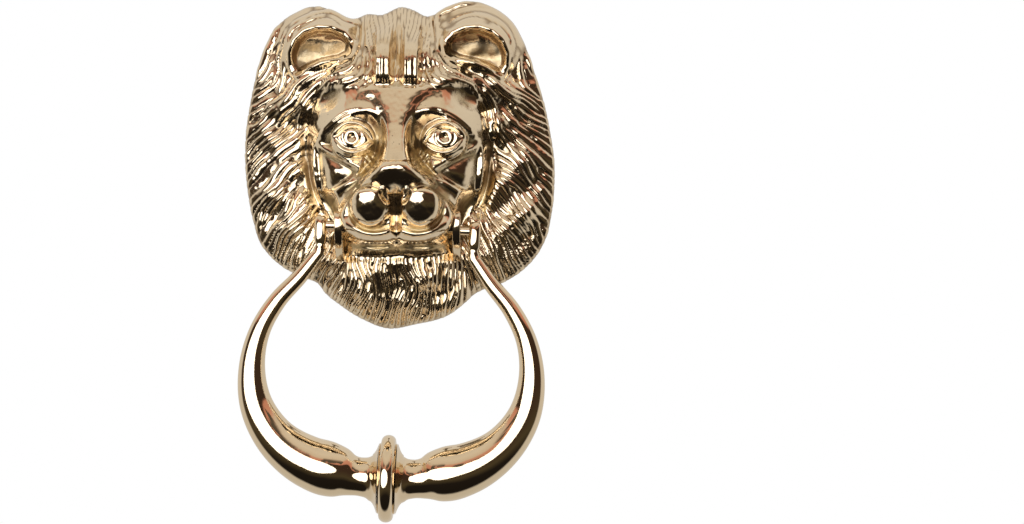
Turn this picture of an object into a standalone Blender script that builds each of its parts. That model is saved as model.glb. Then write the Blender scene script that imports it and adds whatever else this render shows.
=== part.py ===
"""Lion-head door knocker: a hollow cast mask with a swinging horn-shaped ring, and the studs, washers and
dome nuts that fix it through a door.

Frame: the back of the mask is the plane y = 0, the lion looks along -Y and +Z is up. The origin is the
middle of the mask on its back plane. The ring hangs on an axis 20 mm in front of that plane.
"""

import math

import bmesh
import bpy
import numpy as np
from mathutils import Matrix, Vector

MM = 0.001

# Mask casting
EDGE_HEIGHT = 3.2 * MM
EDGE_CHAMFER = 0.6 * MM
BACK_RIM_WIDTH = 5.0 * MM
MASK_COLUMNS = 104
MASK_ROWS = 27
CAVITY_ROWS = 7

# Hinge line of the ring: its two holes are drilled a little out of level
HINGE_DEPTH = 20.0 * MM
HINGE_HEIGHT = -24.4 * MM
RING_SKEW = math.radians(2.4)

# Pivot pins, in lugs on either side of the muzzle
PIN_RADIUS = 1.75 * MM
PIN_INNER_END = 17.8 * MM
PIN_OUTER_END = 31.0 * MM
PIN_END_ROUND = 0.4 * MM
LUG_HOLE_RADIUS = 2.0 * MM
LUG_HOLE_BOTTOM = 17.2 * MM
LUG_HOLE_END = 30.0 * MM
LUG_INNER_FACE = 20.6 * MM
LUG_OUTER_FACE = 23.6 * MM

# Knuckles at the upper ends of the ring
KNUCKLE_INNER_FACE = 26.7 * MM
KNUCKLE_THICKNESS = 4.6 * MM
KNUCKLE_RADIUS = 2.9 * MM
KNUCKLE_DROP = 4.0 * MM
KNUCKLE_END_STEPS = 10
EYE_START = 20.0 * MM
EYE_END = 40.0 * MM

# Ring arms: centreline (across, down) and radius of the right arm, from the knuckle to the collar
ARM_STATIONS = (
    (28.6, -5.8, 2.3),
    (29.4, -10.6, 2.5),
    (35.6, -19.2, 2.95),
    (44.4, -29.6, 3.45),
    (50.2, -40.5, 3.95),
    (52.7, -54.0, 4.9),
    (50.4, -68.8, 6.3),
    (42.6, -80.9, 7.9),
    (30.2, -89.3, 9.8),
    (22.4, -91.8, 10.3),
    (17.6, -92.9, 9.4),
    (13.6, -93.8, 7.7),
    (9.8, -94.2, 7.3),
    (6.6, -94.4, 8.3),
    (4.6, -94.5, 10.6),
    (3.55, -94.5, 13.2),
)
COLLAR_DROP = 94.5 * MM
COLLAR_HALF_WIDTH = 3.3 * MM
COLLAR_RIM = ((3.3 * MM, 13.2 * MM), (2.4 * MM, 14.5 * MM), (1.7 * MM, 15.2 * MM))
COLLAR_BEAD_CENTRE = 14.9 * MM
COLLAR_BEAD_RADIUS = 1.5 * MM
TIE_STUD_RADIUS = 3.0 * MM
TIE_STUD_HALF_LENGTH = 14.0 * MM
TIE_SOCKET_RADIUS = 3.25 * MM
TIE_SOCKET_BOTTOM = 14.5 * MM

# Through-door fixings, for a door 44 mm thick
DOOR_THICKNESS = 44.0 * MM
FIXING_HEIGHTS = {"upper": 34.0 * MM, "lower": -38.0 * MM}
BOSS_RADIUS = 6.0 * MM
BOSS_END_DEPTH = 0.5 * MM
BOSS_TOP = {"upper": 20.0 * MM, "lower": 15.2 * MM}
TAPPED_DEPTH = 14.0 * MM
TAPPED_RADIUS = 3.25 * MM
STUD_RADIUS = 3.0 * MM
STUD_END = DOOR_THICKNESS + 9.0 * MM
STUD_END_ROUND = 0.5 * MM
WASHER_RADIUS = 8.0 * MM
WASHER_THICKNESS = 1.6 * MM
NUT_ACROSS_CORNERS = 11.5 * MM
NUT_HEX_HEIGHT = 5.5 * MM
NUT_DOME_RADIUS = 4.7 * MM
NUT_DOME_ROOT = 2.0 * MM
NUT_HOLE_RISE = 1.8 * MM
FIT_GAP = 0.3 * MM
TOOL_OVERRUN = 1.0 * MM

# Facets of the round pieces
FINE_SIDES = 40
BORE_SIDES = 24
SMOOTH_ANGLE = math.radians(35)
WELD_DISTANCE = 1e-6

BRASS = (0.83, 0.66, 0.38)

# Outline of the mask in mm (across, up), anticlockwise from the tuft between the ears
OUTLINE = (
    (1, 60.6), (-7, 57.2), (-12, 57.9), (-20, 56.3), (-26, 59.4), (-32.5, 61), (-40, 58.6), (-46.5, 54),
    (-50.8, 47.5), (-55, 35.5), (-57.7, 23), (-59.3, 11), (-59.4, -1), (-58.5, -11), (-56.2, -22.5),
    (-54, -29.5), (-50, -35), (-44.5, -39.6), (-37, -43.2), (-31.6, -45.6), (-28.6, -49.4), (-24, -52.9),
    (-14.5, -59), (-4.5, -62.8), (6, -61.2), (19, -57.5), (25, -53), (28.8, -49.6), (32.5, -47.7),
    (39, -45.5), (46.5, -41), (52.4, -35), (56, -28.5), (58.3, -19), (59.4, -8), (59.3, 2), (57.9, 12),
    (55.4, 24), (51.6, 36), (47.2, 48), (43.5, 54.4), (36, 60.4), (27, 62.9), (18, 60.6), (11, 56.8),
    (5.5, 59.2),
)  # fmt: skip

# Side profile of a lug in mm (in front of the back plane, up)
LUG_PROFILE = ((8.5, -18), (24, -18), (26.5, -20), (27, -27), (22, -32), (13, -37), (8.5, -37))


# ---------------------------------------------------------------- relief of the mask, all in millimetres


def hermite(v, knots, values):
    """A smooth curve through (knot, value) pairs, held at its end values outside them."""
    knots, values = np.array(knots, float), np.array(values, float)
    slopes = np.gradient(values, knots)
    v = np.clip(v, knots[0], knots[-1])
    i = np.clip(np.searchsorted(knots, v) - 1, 0, len(knots) - 2)
    span = knots[i + 1] - knots[i]
    t = (v - knots[i]) / span
    rise = (3 - 2 * t) * t * t
    bend = (t**3 - 2 * t * t + t) * slopes[i] + (t**3 - t * t) * slopes[i + 1]
    return values[i] + rise * (values[i + 1] - values[i]) + bend * span


def outline_radius(angle):
    """Distance from the origin to the outline of the mask, by direction."""
    across, up = np.array(OUTLINE, float).T
    angles, radii = np.arctan2(up, across), np.hypot(across, up)
    order = np.argsort(angles)
    angles, radii = angles[order], radii[order]
    turn = 2 * math.pi
    angles = np.concatenate([angles[-3:] - turn, angles, angles[:3] + turn])
    radii = np.concatenate([radii[-3:], radii, radii[:3]])
    return hermite(angle, angles, radii)


def smooth_max(a, b, rounding):
    return 0.5 * (a + b + np.sqrt((a - b) ** 2 + rounding**2))


def smooth_step(start, end, v):
    t = np.clip((v - start) / (end - start), 0, 1)
    return t * t * (3 - 2 * t)


def oval(x, z, centre, half_width, half_height, tilt=0):
    """Distance from the centre of a tilted oval, 1 on its outline."""
    c, s = math.cos(math.radians(tilt)), math.sin(math.radians(tilt))
    u = ((x - centre[0]) * c + (z - centre[1]) * s) / half_width
    v = ((z - centre[1]) * c - (x - centre[0]) * s) / half_height
    return np.hypot(u, v)


def cap(q, squareness=2.0, fullness=0.5):
    """1 in the middle of an oval, falling to 0 at its outline."""
    return np.clip(1 - q**squareness, 0, 1) ** fullness


def dent(q):
    return np.exp(-q * q)


def ridge(x, z, *stations):
    """Height of a rounded ridge along stations (across, up, height, half width)."""
    height = np.zeros_like(x)
    for a, b in zip(stations[:-1], stations[1:]):
        along = Vector((b[0] - a[0], b[1] - a[1]))
        t = np.clip(((x - a[0]) * along.x + (z - a[1]) * along.y) / along.length_squared, 0, 1)
        distance = np.hypot(x - a[0] - t * along.x, z - a[1] - t * along.y)
        crest = a[2] + t * (b[2] - a[2])
        half_width = a[3] + t * (b[3] - a[3])
        height = np.maximum(height, crest * np.exp(-((distance / half_width) ** 2)))
    return height


def inside_triangle(x, z, corners):
    """Distance inside the nearest side of a triangle with its corners anticlockwise, negative outside."""
    nearest = np.full_like(x, np.inf)
    for a, b in zip(corners, corners[1:] + corners[:1]):
        side = Vector((b[0] - a[0], b[1] - a[1]))
        nearest = np.minimum(nearest, (side.x * (z - a[1]) - side.y * (x - a[0])) / side.length)
    return nearest


def mane_and_head(x, z):
    """The broad forms: mane sloping to the edge, and the head dome standing out of it."""
    reach = np.hypot(x, z) / outline_radius(np.arctan2(z, x))
    slope = np.clip((reach - 0.5) / 0.5, 0, 1)
    mane = EDGE_HEIGHT / MM + 12.2 * cap(slope, 1.7, 1.0)
    mane -= 3.6 * smooth_step(0.84, 0.56, reach) * smooth_step(32, 14, z) * smooth_step(-44, -34, z)
    crown = hermite(
        z,
        (-64, -60, -56, -50, -44, -38, -34, -30, -26, -14, 0, 10, 20, 30, 40, 50, 57, 62),
        (3, 6.8, 10, 13.2, 15.6, 17.4, 18.6, 26, 29.3, 30, 31, 32, 31.6, 28.2, 23.5, 16.8, 9.5, 3),
    )
    half_width = hermite(
        z,
        (-64, -55, -46, -38, -30, -22, -14, -5, 5, 18, 28, 36, 44, 52, 60),
        (20, 27, 28.5, 25, 24, 27.5, 32, 35, 36, 36, 34, 29, 22, 17, 14),
    )
    return smooth_max(mane, crown * cap(np.abs(x) / half_width, 3.2, 0.55), 1.5)


def with_muzzle(h, ax, z):
    """Nose bridge, muzzle block, whisker pads and nose."""
    bridge = hermite(z, (-6, 0, 5, 12, 20, 28, 34), (46.5, 43.5, 40.6, 37.2, 33.8, 30.2, 27.4))
    bridge_width = hermite(z, (-8, 0, 6, 14, 20, 28), (10.6, 7.0, 5.4, 6.4, 9.5, 15))
    bridge = bridge - 7.5 * (ax / bridge_width) ** 3
    bridge -= 60 * smooth_step(26, 40, z) + 60 * smooth_step(-8, -15, z)
    h = smooth_max(h, bridge, 1.0)
    muzzle = hermite(z, (-33, -30.5, -27, -20, -12, -6, 0), (25, 32, 36, 38, 38.5, 37, 33))
    muzzle_width = hermite(z, (-32, -28, -22, -15, -8, 0), (15, 19.5, 21.5, 19.5, 13, 7))
    muzzle -= 10 * (ax / muzzle_width) ** 6
    muzzle -= 30 * smooth_step(-30, -34.5, z) + 60 * smooth_step(-5, 9, z)
    h = smooth_max(h, muzzle, 1.2)
    pad = oval(ax, z, (8.3, -17.5), 7.3, 7.3)
    h = np.where(pad < 1, smooth_max(h, 37 + 7.2 * cap(pad), 0.7), h)
    nose = oval(ax, z, (0, -7.2), 10.2, 6.0)
    h = np.where(nose < 1, smooth_max(h, 38 + 9.3 * cap(nose, 2.4), 0.6), h)
    return h - 3.4 * dent(oval(ax, z, (0, -19.5), 1.5, 8))


def with_eyes_and_cheeks(h, ax, z):
    h = h - 5.5 * dent(oval(ax, z, (18.3, 9.5), 10.5, 7.5, 12))
    h -= 4.0 * dent(oval(ax, z, (10.5, 1.0), 3.6, 8, -25))
    h -= 3.6 * dent(oval(ax, z, (25.4, 24), 5.6, 4, -30))
    h += ridge(
        ax, z, (5.4, 14, 1.0, 2.2), (7.4, 17.2, 1.6, 2.4), (12, 19.2, 2.0, 2.6),
        (18, 18, 2.0, 2.5), (24, 14.8, 1.8, 2.3), (28.5, 11, 1.0, 2),
    )  # fmt: skip
    h += ridge(
        ax, z, (5.2, 29, 2, 3.2), (5.2, 36, 5.4, 3.2), (5.2, 41, 7.2, 3.2),
        (5.2, 48, 4.4, 3.2), (5.2, 56, 0, 3.2),
    )  # fmt: skip
    ball = oval(ax, z, (18.3, 9.8), 7.4, 6.4, -8)
    h = np.where(ball < 1, smooth_max(h, 26 + 5.6 * cap(ball), 0.5), h)
    facet = inside_triangle(ax, z, ((29.4, 3.2), (16.6, -4), (28.5, -10.6)))
    return h - 3.8 * smooth_step(-0.4, 2.6, facet)


def with_ears(h, ax, z):
    ear = oval(ax, z, (29.3, 43.5), 15, 13.5, 10)
    h = np.where(ear < 1.3, smooth_max(h, 21 - 11 * ear**2.2, 1.5), h)
    cup = oval(ax, z, (29.3, 43.2), 11, 7.4, 6)
    return h - 10 * cap(cup, 2.5, 0.9) + 1.2 * np.exp(-(((cup - 1.15) / 0.18) ** 2))


def with_ring_clearance(h, ax, z):
    """The hollows beside the muzzle where the knuckles turn and the arms pass over the mane."""
    face_groove = ridge(
        ax, z, (36, 9, 0.8, 2), (35.2, 2, 1.6, 2), (34.2, -6, 2.2, 2), (32, -13, 2.8, 2.4), (30, -18, 3, 3)
    )
    recess = oval(ax, z, (29, -25), 6.5, 13, -8)
    floor = 11.0 + 30 * np.clip(recess - 0.8, 0, None) ** 2
    h = h - face_groove
    return np.where((recess < 1.6) & (ax > 22.5), -smooth_max(-h, -floor, 1.0), h)


def front_height(x, z):
    """Height of the mask's front above its back plane."""
    ax = np.abs(x)
    h = mane_and_head(x, z)
    h = with_eyes_and_cheeks(h, ax, z)
    h = with_muzzle(h, ax, z)
    h = with_ears(h, ax, z)
    h = with_ring_clearance(h, ax, z)
    return np.maximum(h, EDGE_HEIGHT / MM)


def cast_height(x, z):
    """The front's height averaged over a small patch, so that a coarse mesh keeps its forms smooth."""
    shifts = np.linspace(-1.7, 1.7, 5)
    return np.mean([front_height(x + i, z + k) for i in shifts for k in shifts], axis=0)


def cavity_height(x, z):
    """Height of the hollow behind the mask, which follows the front's broad forms."""
    reach = np.hypot(x, z) / (outline_radius(np.arctan2(z, x)) - BACK_RIM_WIDTH / MM)
    shell = 6.0 * cap(reach, 4, 0.6)
    head = 21.0 * cap(oval(x, z, (0, 8), 27, 32), 3, 0.6)
    muzzle = 31.0 * cap(oval(x, z, (0, -13), 13, 13), 3, 0.6)
    beard = 13.0 * cap(oval(x, z, (0, -38), 18, 15), 3, 0.6)
    return np.maximum.reduce([shell, head, muzzle, beard])


# ---------------------------------------------------------------- helpers


def make_collection(name, hidden=False):
    collection = bpy.data.collections.new(name)
    bpy.context.scene.collection.children.link(collection)
    collection.hide_render = hidden
    return collection


def make_material(name, colour, roughness):
    material = bpy.data.materials.new(name)
    material.use_nodes = True
    shader = material.node_tree.nodes["Principled BSDF"]
    shader.inputs["Base Color"].default_value = (*colour, 1)
    shader.inputs["Metallic"].default_value = 1.0
    shader.inputs["Roughness"].default_value = roughness
    return material


def add_object(name, mesh, collection, material=None, parent=None):
    obj = bpy.data.objects.new(name, mesh)
    collection.objects.link(obj)
    if material is not None:
        mesh.materials.append(material)
    if parent is not None:
        obj.parent = parent
    return obj


def mesh_from(name, vertices, faces):
    mesh = bpy.data.meshes.new(name)
    mesh.from_pydata([tuple(v) for v in vertices], [], faces)
    mesh.update()
    mesh.shade_smooth()
    return mesh


def smooth_mesh(name, shell):
    """The mesh of an edited shell, shaded smooth except at its corners."""
    mesh = bpy.data.meshes.new(name)
    shell.to_mesh(mesh)
    shell.free()
    mesh.shade_smooth()
    mesh.set_sharp_from_angle(angle=SMOOTH_ANGLE)
    return mesh


def cylinder_mesh(name, radius, start, end, axis, sides=BORE_SIDES):
    """A cylinder along one axis of its object, between two positions on it."""
    shell = bmesh.new()
    bmesh.ops.create_cone(
        shell, cap_ends=True, segments=sides, radius1=radius, radius2=radius, depth=abs(end - start)
    )
    turn = {"X": Matrix.Rotation(math.pi / 2, 4, "Y"), "Y": Matrix.Rotation(math.pi / 2, 4, "X")}[axis]
    middle = (start + end) / 2
    offset = Vector((middle, 0, 0)) if axis == "X" else Vector((0, middle, 0))
    bmesh.ops.transform(shell, matrix=Matrix.Translation(offset) @ turn, verts=shell.verts)
    return smooth_mesh(name, shell)


def add_turned(name, outline, axis, steps, collection, material=None, parent=None):
    """A solid turned about X or Y from (along, radius) points, which run down its outer side. An outline that
    leaves the axis open is closed round the hole."""
    count = len(outline)
    edges = [(i, i + 1) for i in range(count - 1)]
    if outline[0][1] > 0:
        edges.append((count - 1, 0))
    mesh = bpy.data.meshes.new(name)
    mesh.from_pydata([(radius, 0, along) for along, radius in outline], edges, [])
    obj = add_object(name, mesh, collection, material, parent)
    obj.rotation_euler = {"X": (0, math.pi / 2, 0), "Y": (-math.pi / 2, 0, 0)}[axis]
    screw = obj.modifiers.new("turning", "SCREW")
    screw.axis = "Z"
    screw.steps = screw.render_steps = steps
    screw.use_merge_vertices = True
    screw.merge_threshold = WELD_DISTANCE
    return obj


def mesh_of_curve(curve):
    """The closed surface of a curve, with its caps welded to its sides."""
    holder = bpy.data.objects.new(curve.name, curve)
    bpy.context.scene.collection.objects.link(holder)
    graph = bpy.context.evaluated_depsgraph_get()
    raw = bpy.data.meshes.new_from_object(holder.evaluated_get(graph))
    bpy.data.objects.remove(holder)
    shell = bmesh.new()
    shell.from_mesh(raw)
    bpy.data.meshes.remove(raw)
    bmesh.ops.remove_doubles(shell, verts=shell.verts, dist=WELD_DISTANCE)
    bmesh.ops.recalc_face_normals(shell, faces=shell.faces)
    return smooth_mesh(curve.name, shell)


def add_plate(name, outline, middle, thickness, collection, parent=None):
    """A flat plate across X, from an outline of (Y, Z) points."""
    curve = bpy.data.curves.new(name, "CURVE")
    curve.dimensions = "2D"
    curve.fill_mode = "BOTH"
    curve.extrude = thickness / 2
    spline = curve.splines.new("POLY")
    spline.points.add(len(outline) - 1)
    for point, (y, z) in zip(spline.points, outline):
        point.co = (y, z, 0, 1)
    spline.use_cyclic_u = True
    plate = add_object(name, mesh_of_curve(curve), collection, parent=parent)
    plate.rotation_euler = (math.pi / 2, 0, math.pi / 2)
    plate.location.x = middle
    return plate


def combine(obj, other, operation, cutters):
    """Joins or cuts with another solid, which stays in the hidden collection."""
    for holder in list(other.users_collection):
        holder.objects.unlink(other)
    cutters.objects.link(other)
    other.hide_render = True
    other.display_type = "WIRE"
    modifier = obj.modifiers.new(other.name, "BOOLEAN")
    modifier.operation = operation
    modifier.solver = "EXACT"
    modifier.object = other


def add_bevel(obj, width, segments=2):
    modifier = obj.modifiers.new("edge_round", "BEVEL")
    modifier.width = width
    modifier.segments = segments
    modifier.limit_method = "ANGLE"
    modifier.angle_limit = math.radians(40)


# ---------------------------------------------------------------- mask


def mask_mesh():
    """Front relief, outer edge, back rim and hollow, as one closed surface of rings around the origin."""
    angles = np.arange(MASK_COLUMNS) * 2 * math.pi / MASK_COLUMNS - math.pi
    edge = outline_radius(angles)
    rings = []

    def add_ring(radii, heights):
        rings.append(np.column_stack([radii * np.cos(angles), -heights, radii * np.sin(angles)]))

    for share in np.arange(1, MASK_ROWS + 1) / MASK_ROWS:
        radii = edge * share**0.9
        add_ring(radii, cast_height(radii * np.cos(angles), radii * np.sin(angles)))
    add_ring(edge, np.full_like(edge, EDGE_CHAMFER / MM))
    add_ring(edge - EDGE_CHAMFER / MM, np.zeros_like(edge))
    inner = edge - BACK_RIM_WIDTH / MM
    add_ring(inner, np.zeros_like(edge))
    for share in np.arange(CAVITY_ROWS, 0, -1) / CAVITY_ROWS:
        radii = inner * share * 0.985
        add_ring(radii, cavity_height(radii * np.cos(angles), radii * np.sin(angles)))

    centre = np.zeros(1)
    vertices = np.vstack(
        [*rings, [[0, -cast_height(centre, centre)[0], 0]], [[0, -cavity_height(centre, centre)[0], 0]]]
    )
    n = MASK_COLUMNS
    last = (len(rings) - 1) * n
    front_centre, cavity_centre = len(rings) * n, len(rings) * n + 1
    faces = []
    for i in range(n):
        j = (i + 1) % n
        faces.append((front_centre, i, j))
        faces.append((cavity_centre, last + j, last + i))
        for r in range(len(rings) - 1):
            faces.append((r * n + i, r * n + n + i, r * n + n + j, r * n + j))
    return mesh_from("lion_mask", vertices * MM, faces)


def add_lug(name, side, cutters):
    """A wall beside the muzzle, in which a pivot pin turns, sloping back below the hinge line."""
    outline = [(-depth * MM, height * MM) for depth, height in LUG_PROFILE]
    middle = side * (LUG_INNER_FACE + LUG_OUTER_FACE) / 2
    return add_plate(name, outline, middle, LUG_OUTER_FACE - LUG_INNER_FACE, cutters)


def build_mask(parts, cutters, hinge, material):
    mask = add_object("lion_mask", mask_mesh(), parts, material)
    for name, side in (("left_lug", -1), ("right_lug", 1)):
        combine(mask, add_lug(name, side, cutters), "UNION", cutters)
    for name, height in FIXING_HEIGHTS.items():
        mesh = cylinder_mesh("boss", BOSS_RADIUS, -BOSS_TOP[name], -BOSS_END_DEPTH, "Y")
        boss = add_object(name + "_boss", mesh, cutters)
        boss.location.z = height
        combine(mask, boss, "UNION", cutters)
    for name, height in FIXING_HEIGHTS.items():
        mesh = cylinder_mesh("tapping", TAPPED_RADIUS, -TAPPED_DEPTH, TOOL_OVERRUN, "Y")
        hole = add_object(name + "_tapping", mesh, cutters)
        hole.location.z = height
        combine(mask, hole, "DIFFERENCE", cutters)
    for name, side in (("left_lug_hole", -1), ("right_lug_hole", 1)):
        mesh = cylinder_mesh("lug_hole", LUG_HOLE_RADIUS, side * LUG_HOLE_BOTTOM, side * LUG_HOLE_END, "X")
        combine(mask, add_object(name, mesh, cutters, parent=hinge), "DIFFERENCE", cutters)
    return mask


# ---------------------------------------------------------------- ring


def arm_mesh(side):
    """A tube whose centreline and thickness follow the arm's stations."""
    curve = bpy.data.curves.new("arm", "CURVE")
    curve.dimensions = "3D"
    curve.resolution_u = 4
    curve.bevel_depth = MM
    curve.bevel_resolution = 3
    curve.use_fill_caps = True
    spline = curve.splines.new("BEZIER")
    spline.bezier_points.add(len(ARM_STATIONS) - 1)
    for point, (across, up, radius) in zip(spline.bezier_points, ARM_STATIONS):
        point.co = (side * across * MM, 0, up * MM)
        point.radius = radius
        point.handle_left_type = point.handle_right_type = "AUTO"
    return mesh_of_curve(curve)


def add_knuckle(name, side, cutters, hinge):
    """A flat eye with rounded ends, standing across the hinge line."""
    outline = []
    for centre, start in ((0.0, 0.0), (-KNUCKLE_DROP, math.pi)):
        for angle in np.linspace(start, start + math.pi, KNUCKLE_END_STEPS + 1):
            outline.append((KNUCKLE_RADIUS * math.cos(angle), centre + KNUCKLE_RADIUS * math.sin(angle)))
    middle = side * (KNUCKLE_INNER_FACE + KNUCKLE_THICKNESS / 2)
    return add_plate(name, outline, middle, KNUCKLE_THICKNESS, cutters, hinge)


def build_arm(name, side, parts, cutters, hinge, material):
    arm = add_object(name, arm_mesh(side), parts, material, hinge)
    combine(arm, add_knuckle(name + "_knuckle", side, cutters, hinge), "UNION", cutters)
    eye = cylinder_mesh("eye", PIN_RADIUS + FIT_GAP, side * EYE_START, side * EYE_END, "X")
    combine(arm, add_object(name + "_eye", eye, cutters, parent=hinge), "DIFFERENCE", cutters)
    socket = cylinder_mesh("socket", TIE_SOCKET_RADIUS, 0, side * TIE_SOCKET_BOTTOM, "X")
    socket_object = add_object(name + "_socket", socket, cutters, parent=hinge)
    socket_object.location.z = -COLLAR_DROP
    combine(arm, socket_object, "DIFFERENCE", cutters)


def collar_outline():
    """The collar's section, with a raised round bead on its edge, around the tie stud's hole."""
    flank = [(COLLAR_HALF_WIDTH, TIE_SOCKET_RADIUS), *COLLAR_RIM]
    bead = [
        (COLLAR_BEAD_RADIUS * math.cos(angle), COLLAR_BEAD_CENTRE + COLLAR_BEAD_RADIUS * math.sin(angle))
        for angle in np.radians((30, 60, 90))
    ]
    half = flank + bead
    return half + [(-along, radius) for along, radius in half[-2::-1]]


def build_ring_fittings(parts, hinge, material, pin_material):
    collar = add_turned("ring_collar", collar_outline(), "X", FINE_SIDES, parts, material, hinge)
    collar.location.z = -COLLAR_DROP
    half = TIE_STUD_HALF_LENGTH
    mesh = cylinder_mesh("ring_tie_stud", TIE_STUD_RADIUS, -half, half, "X")
    stud = add_object("ring_tie_stud", mesh, parts, pin_material, hinge)
    stud.location.z = -COLLAR_DROP
    for name, side in (("left_pivot_pin", -1), ("right_pivot_pin", 1)):
        mesh = cylinder_mesh(name, PIN_RADIUS, side * PIN_INNER_END, side * PIN_OUTER_END, "X")
        add_bevel(add_object(name, mesh, parts, pin_material, hinge), PIN_END_ROUND)


# ---------------------------------------------------------------- fixings


def dome_nut(name, height, parts, cutters, material):
    """A hexagon with a dome on it and a blind threaded hole, bearing on the washer inside the door."""
    start = DOOR_THICKNESS + WASHER_THICKNESS + 2 * FIT_GAP
    base = start + NUT_HEX_HEIGHT
    hexagon = cylinder_mesh(name, NUT_ACROSS_CORNERS / 2, start, base, "Y", 6)
    nut = add_object(name, hexagon, parts, material)
    nut.location.z = height
    quarter = np.radians(range(75, -1, -15))
    arc = [(base + NUT_DOME_RADIUS * math.sin(a), NUT_DOME_RADIUS * math.cos(a)) for a in quarter]
    root = base - NUT_DOME_ROOT
    outline = [(base + NUT_DOME_RADIUS, 0), *arc, (root, NUT_DOME_RADIUS), (root, 0)]
    dome = add_turned(name + "_dome", outline, "Y", BORE_SIDES, cutters)
    dome.location.z = height
    combine(nut, dome, "UNION", cutters)
    mesh = cylinder_mesh("hole", TAPPED_RADIUS, start - TOOL_OVERRUN, base + NUT_HOLE_RISE, "Y")
    hole = add_object(name + "_hole", mesh, cutters)
    hole.location.z = height
    combine(nut, hole, "DIFFERENCE", cutters)


def build_fixings(parts, cutters, stud_material, washer_material, nut_material):
    low = DOOR_THICKNESS + FIT_GAP
    high = low + WASHER_THICKNESS
    washer_outline = [
        (high, WASHER_RADIUS), (low, WASHER_RADIUS),
        (low, TAPPED_RADIUS), (high, TAPPED_RADIUS),
    ]  # fmt: skip
    for name, height in FIXING_HEIGHTS.items():
        mesh = cylinder_mesh("stud", STUD_RADIUS, -TAPPED_DEPTH + FIT_GAP, STUD_END, "Y")
        stud = add_object(name + "_fixing_stud", mesh, parts, stud_material)
        stud.location.z = height
        add_bevel(stud, STUD_END_ROUND)
        washer = add_turned(name + "_washer", washer_outline, "Y", FINE_SIDES, parts, washer_material)
        washer.location.z = height
        dome_nut(name + "_dome_nut", height, parts, cutters, nut_material)


def main():
    for obj in list(bpy.data.objects):
        bpy.data.objects.remove(obj)
    parts = make_collection("door_knocker")
    cutters = make_collection("cutters", hidden=True)
    mask_brass = make_material("mask_brass", BRASS, 0.18)
    ring_brass = make_material("ring_brass", BRASS, 0.08)
    pin_brass = make_material("pin_brass", BRASS, 0.25)
    stud_steel = make_material("stud_steel", (0.62, 0.61, 0.58), 0.35)
    washer_brass = make_material("washer_brass", BRASS, 0.3)
    nut_brass = make_material("nut_brass", BRASS, 0.2)
    hinge = bpy.data.objects.new("hinge_line", None)
    parts.objects.link(hinge)
    hinge.location = (0, -HINGE_DEPTH, HINGE_HEIGHT)
    hinge.rotation_euler = (0, RING_SKEW, 0)
    build_mask(parts, cutters, hinge, mask_brass)
    build_arm("left_ring_arm", -1, parts, cutters, hinge, ring_brass)
    build_arm("right_ring_arm", 1, parts, cutters, hinge, ring_brass)
    build_ring_fittings(parts, hinge, ring_brass, pin_brass)
    build_fixings(parts, cutters, stud_steel, washer_brass, nut_brass)


main()
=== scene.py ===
import math
import random

import bmesh
import bpy
import numpy as np
from mathutils import Matrix, Vector, kdtree


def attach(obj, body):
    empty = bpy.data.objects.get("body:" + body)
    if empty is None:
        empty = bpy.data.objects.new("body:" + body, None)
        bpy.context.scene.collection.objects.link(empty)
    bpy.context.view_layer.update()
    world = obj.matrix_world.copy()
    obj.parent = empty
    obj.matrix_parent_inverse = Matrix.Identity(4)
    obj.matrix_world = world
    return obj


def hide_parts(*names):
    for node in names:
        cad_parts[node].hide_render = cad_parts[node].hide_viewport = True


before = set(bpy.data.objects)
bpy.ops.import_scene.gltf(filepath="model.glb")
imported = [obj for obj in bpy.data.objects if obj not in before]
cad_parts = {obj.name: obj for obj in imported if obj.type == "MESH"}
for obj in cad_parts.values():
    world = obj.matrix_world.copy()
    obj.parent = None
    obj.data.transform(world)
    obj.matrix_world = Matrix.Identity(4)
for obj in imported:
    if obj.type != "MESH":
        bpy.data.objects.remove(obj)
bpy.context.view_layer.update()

# Looks of the lion-head door knocker. Shapes are worked out in millimetres, with x across, z up and the
# relief's height measured forwards (-Y) from the mask's back plane, and become metres when a mesh is made.

MM = 0.001

# Mask
EDGE_HEIGHT = 3.2
BACK_RIM_WIDTH = 5.0
MASK_RINGS = 146
CAVITY_ROWS = 26
BACK_COLUMN_STEP = 4
HAIR_PITCH = 2.2
HAIR_DEPTH = 0.95
HAIR_STEP = 0.4
HAIR_CELL = 2.7
HAIR_LENGTHS = (22.0, 60.0)
FIELD_CELL = 1.0
WAVES = 14

# Hinge line of the ring
HINGE_DEPTH = 20.0
HINGE_HEIGHT = -24.4
RING_SKEW = math.radians(2.4)
PIN_RADIUS = 1.75
PIN_INNER_END = 17.8
PIN_OUTER_END = 31.0
LUG_INNER_FACE = 20.6
LUG_OUTER_FACE = 23.6
LUG_HOLE_RADIUS = 2.0
LUG_PROFILE = (
    (8.5, -18), (23.5, -18), (25.6, -18.6), (26.8, -20.2), (27, -22.4), (26.6, -25), (25.2, -28.2),
    (22, -32), (17.5, -35), (13, -37), (8.5, -37),
)

# Ring: stations (across, up, radius) of the right arm, from the hinge line down
KNUCKLE_MIDDLE = 29.0
KNUCKLE_HALF_WIDTH = 2.3
KNUCKLE_HALF_DEPTH = 2.9
ARM_STATIONS = (
    (29.3, -10.6, 2.5), (35.6, -19.2, 2.95), (44.4, -29.6, 3.45), (50.2, -40.5, 3.95), (52.7, -54, 4.9),
    (50.4, -68.8, 6.3), (42.6, -80.9, 7.9), (30.2, -89.3, 9.8), (22.4, -91.8, 10.3), (17.6, -92.9, 9.4),
    (13.6, -93.8, 7.7), (9.8, -94.2, 7.3), (6.6, -94.4, 8.3), (4.6, -94.5, 10.6), (3.55, -94.5, 13.2),
)
COLLAR_DROP = 94.5

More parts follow.
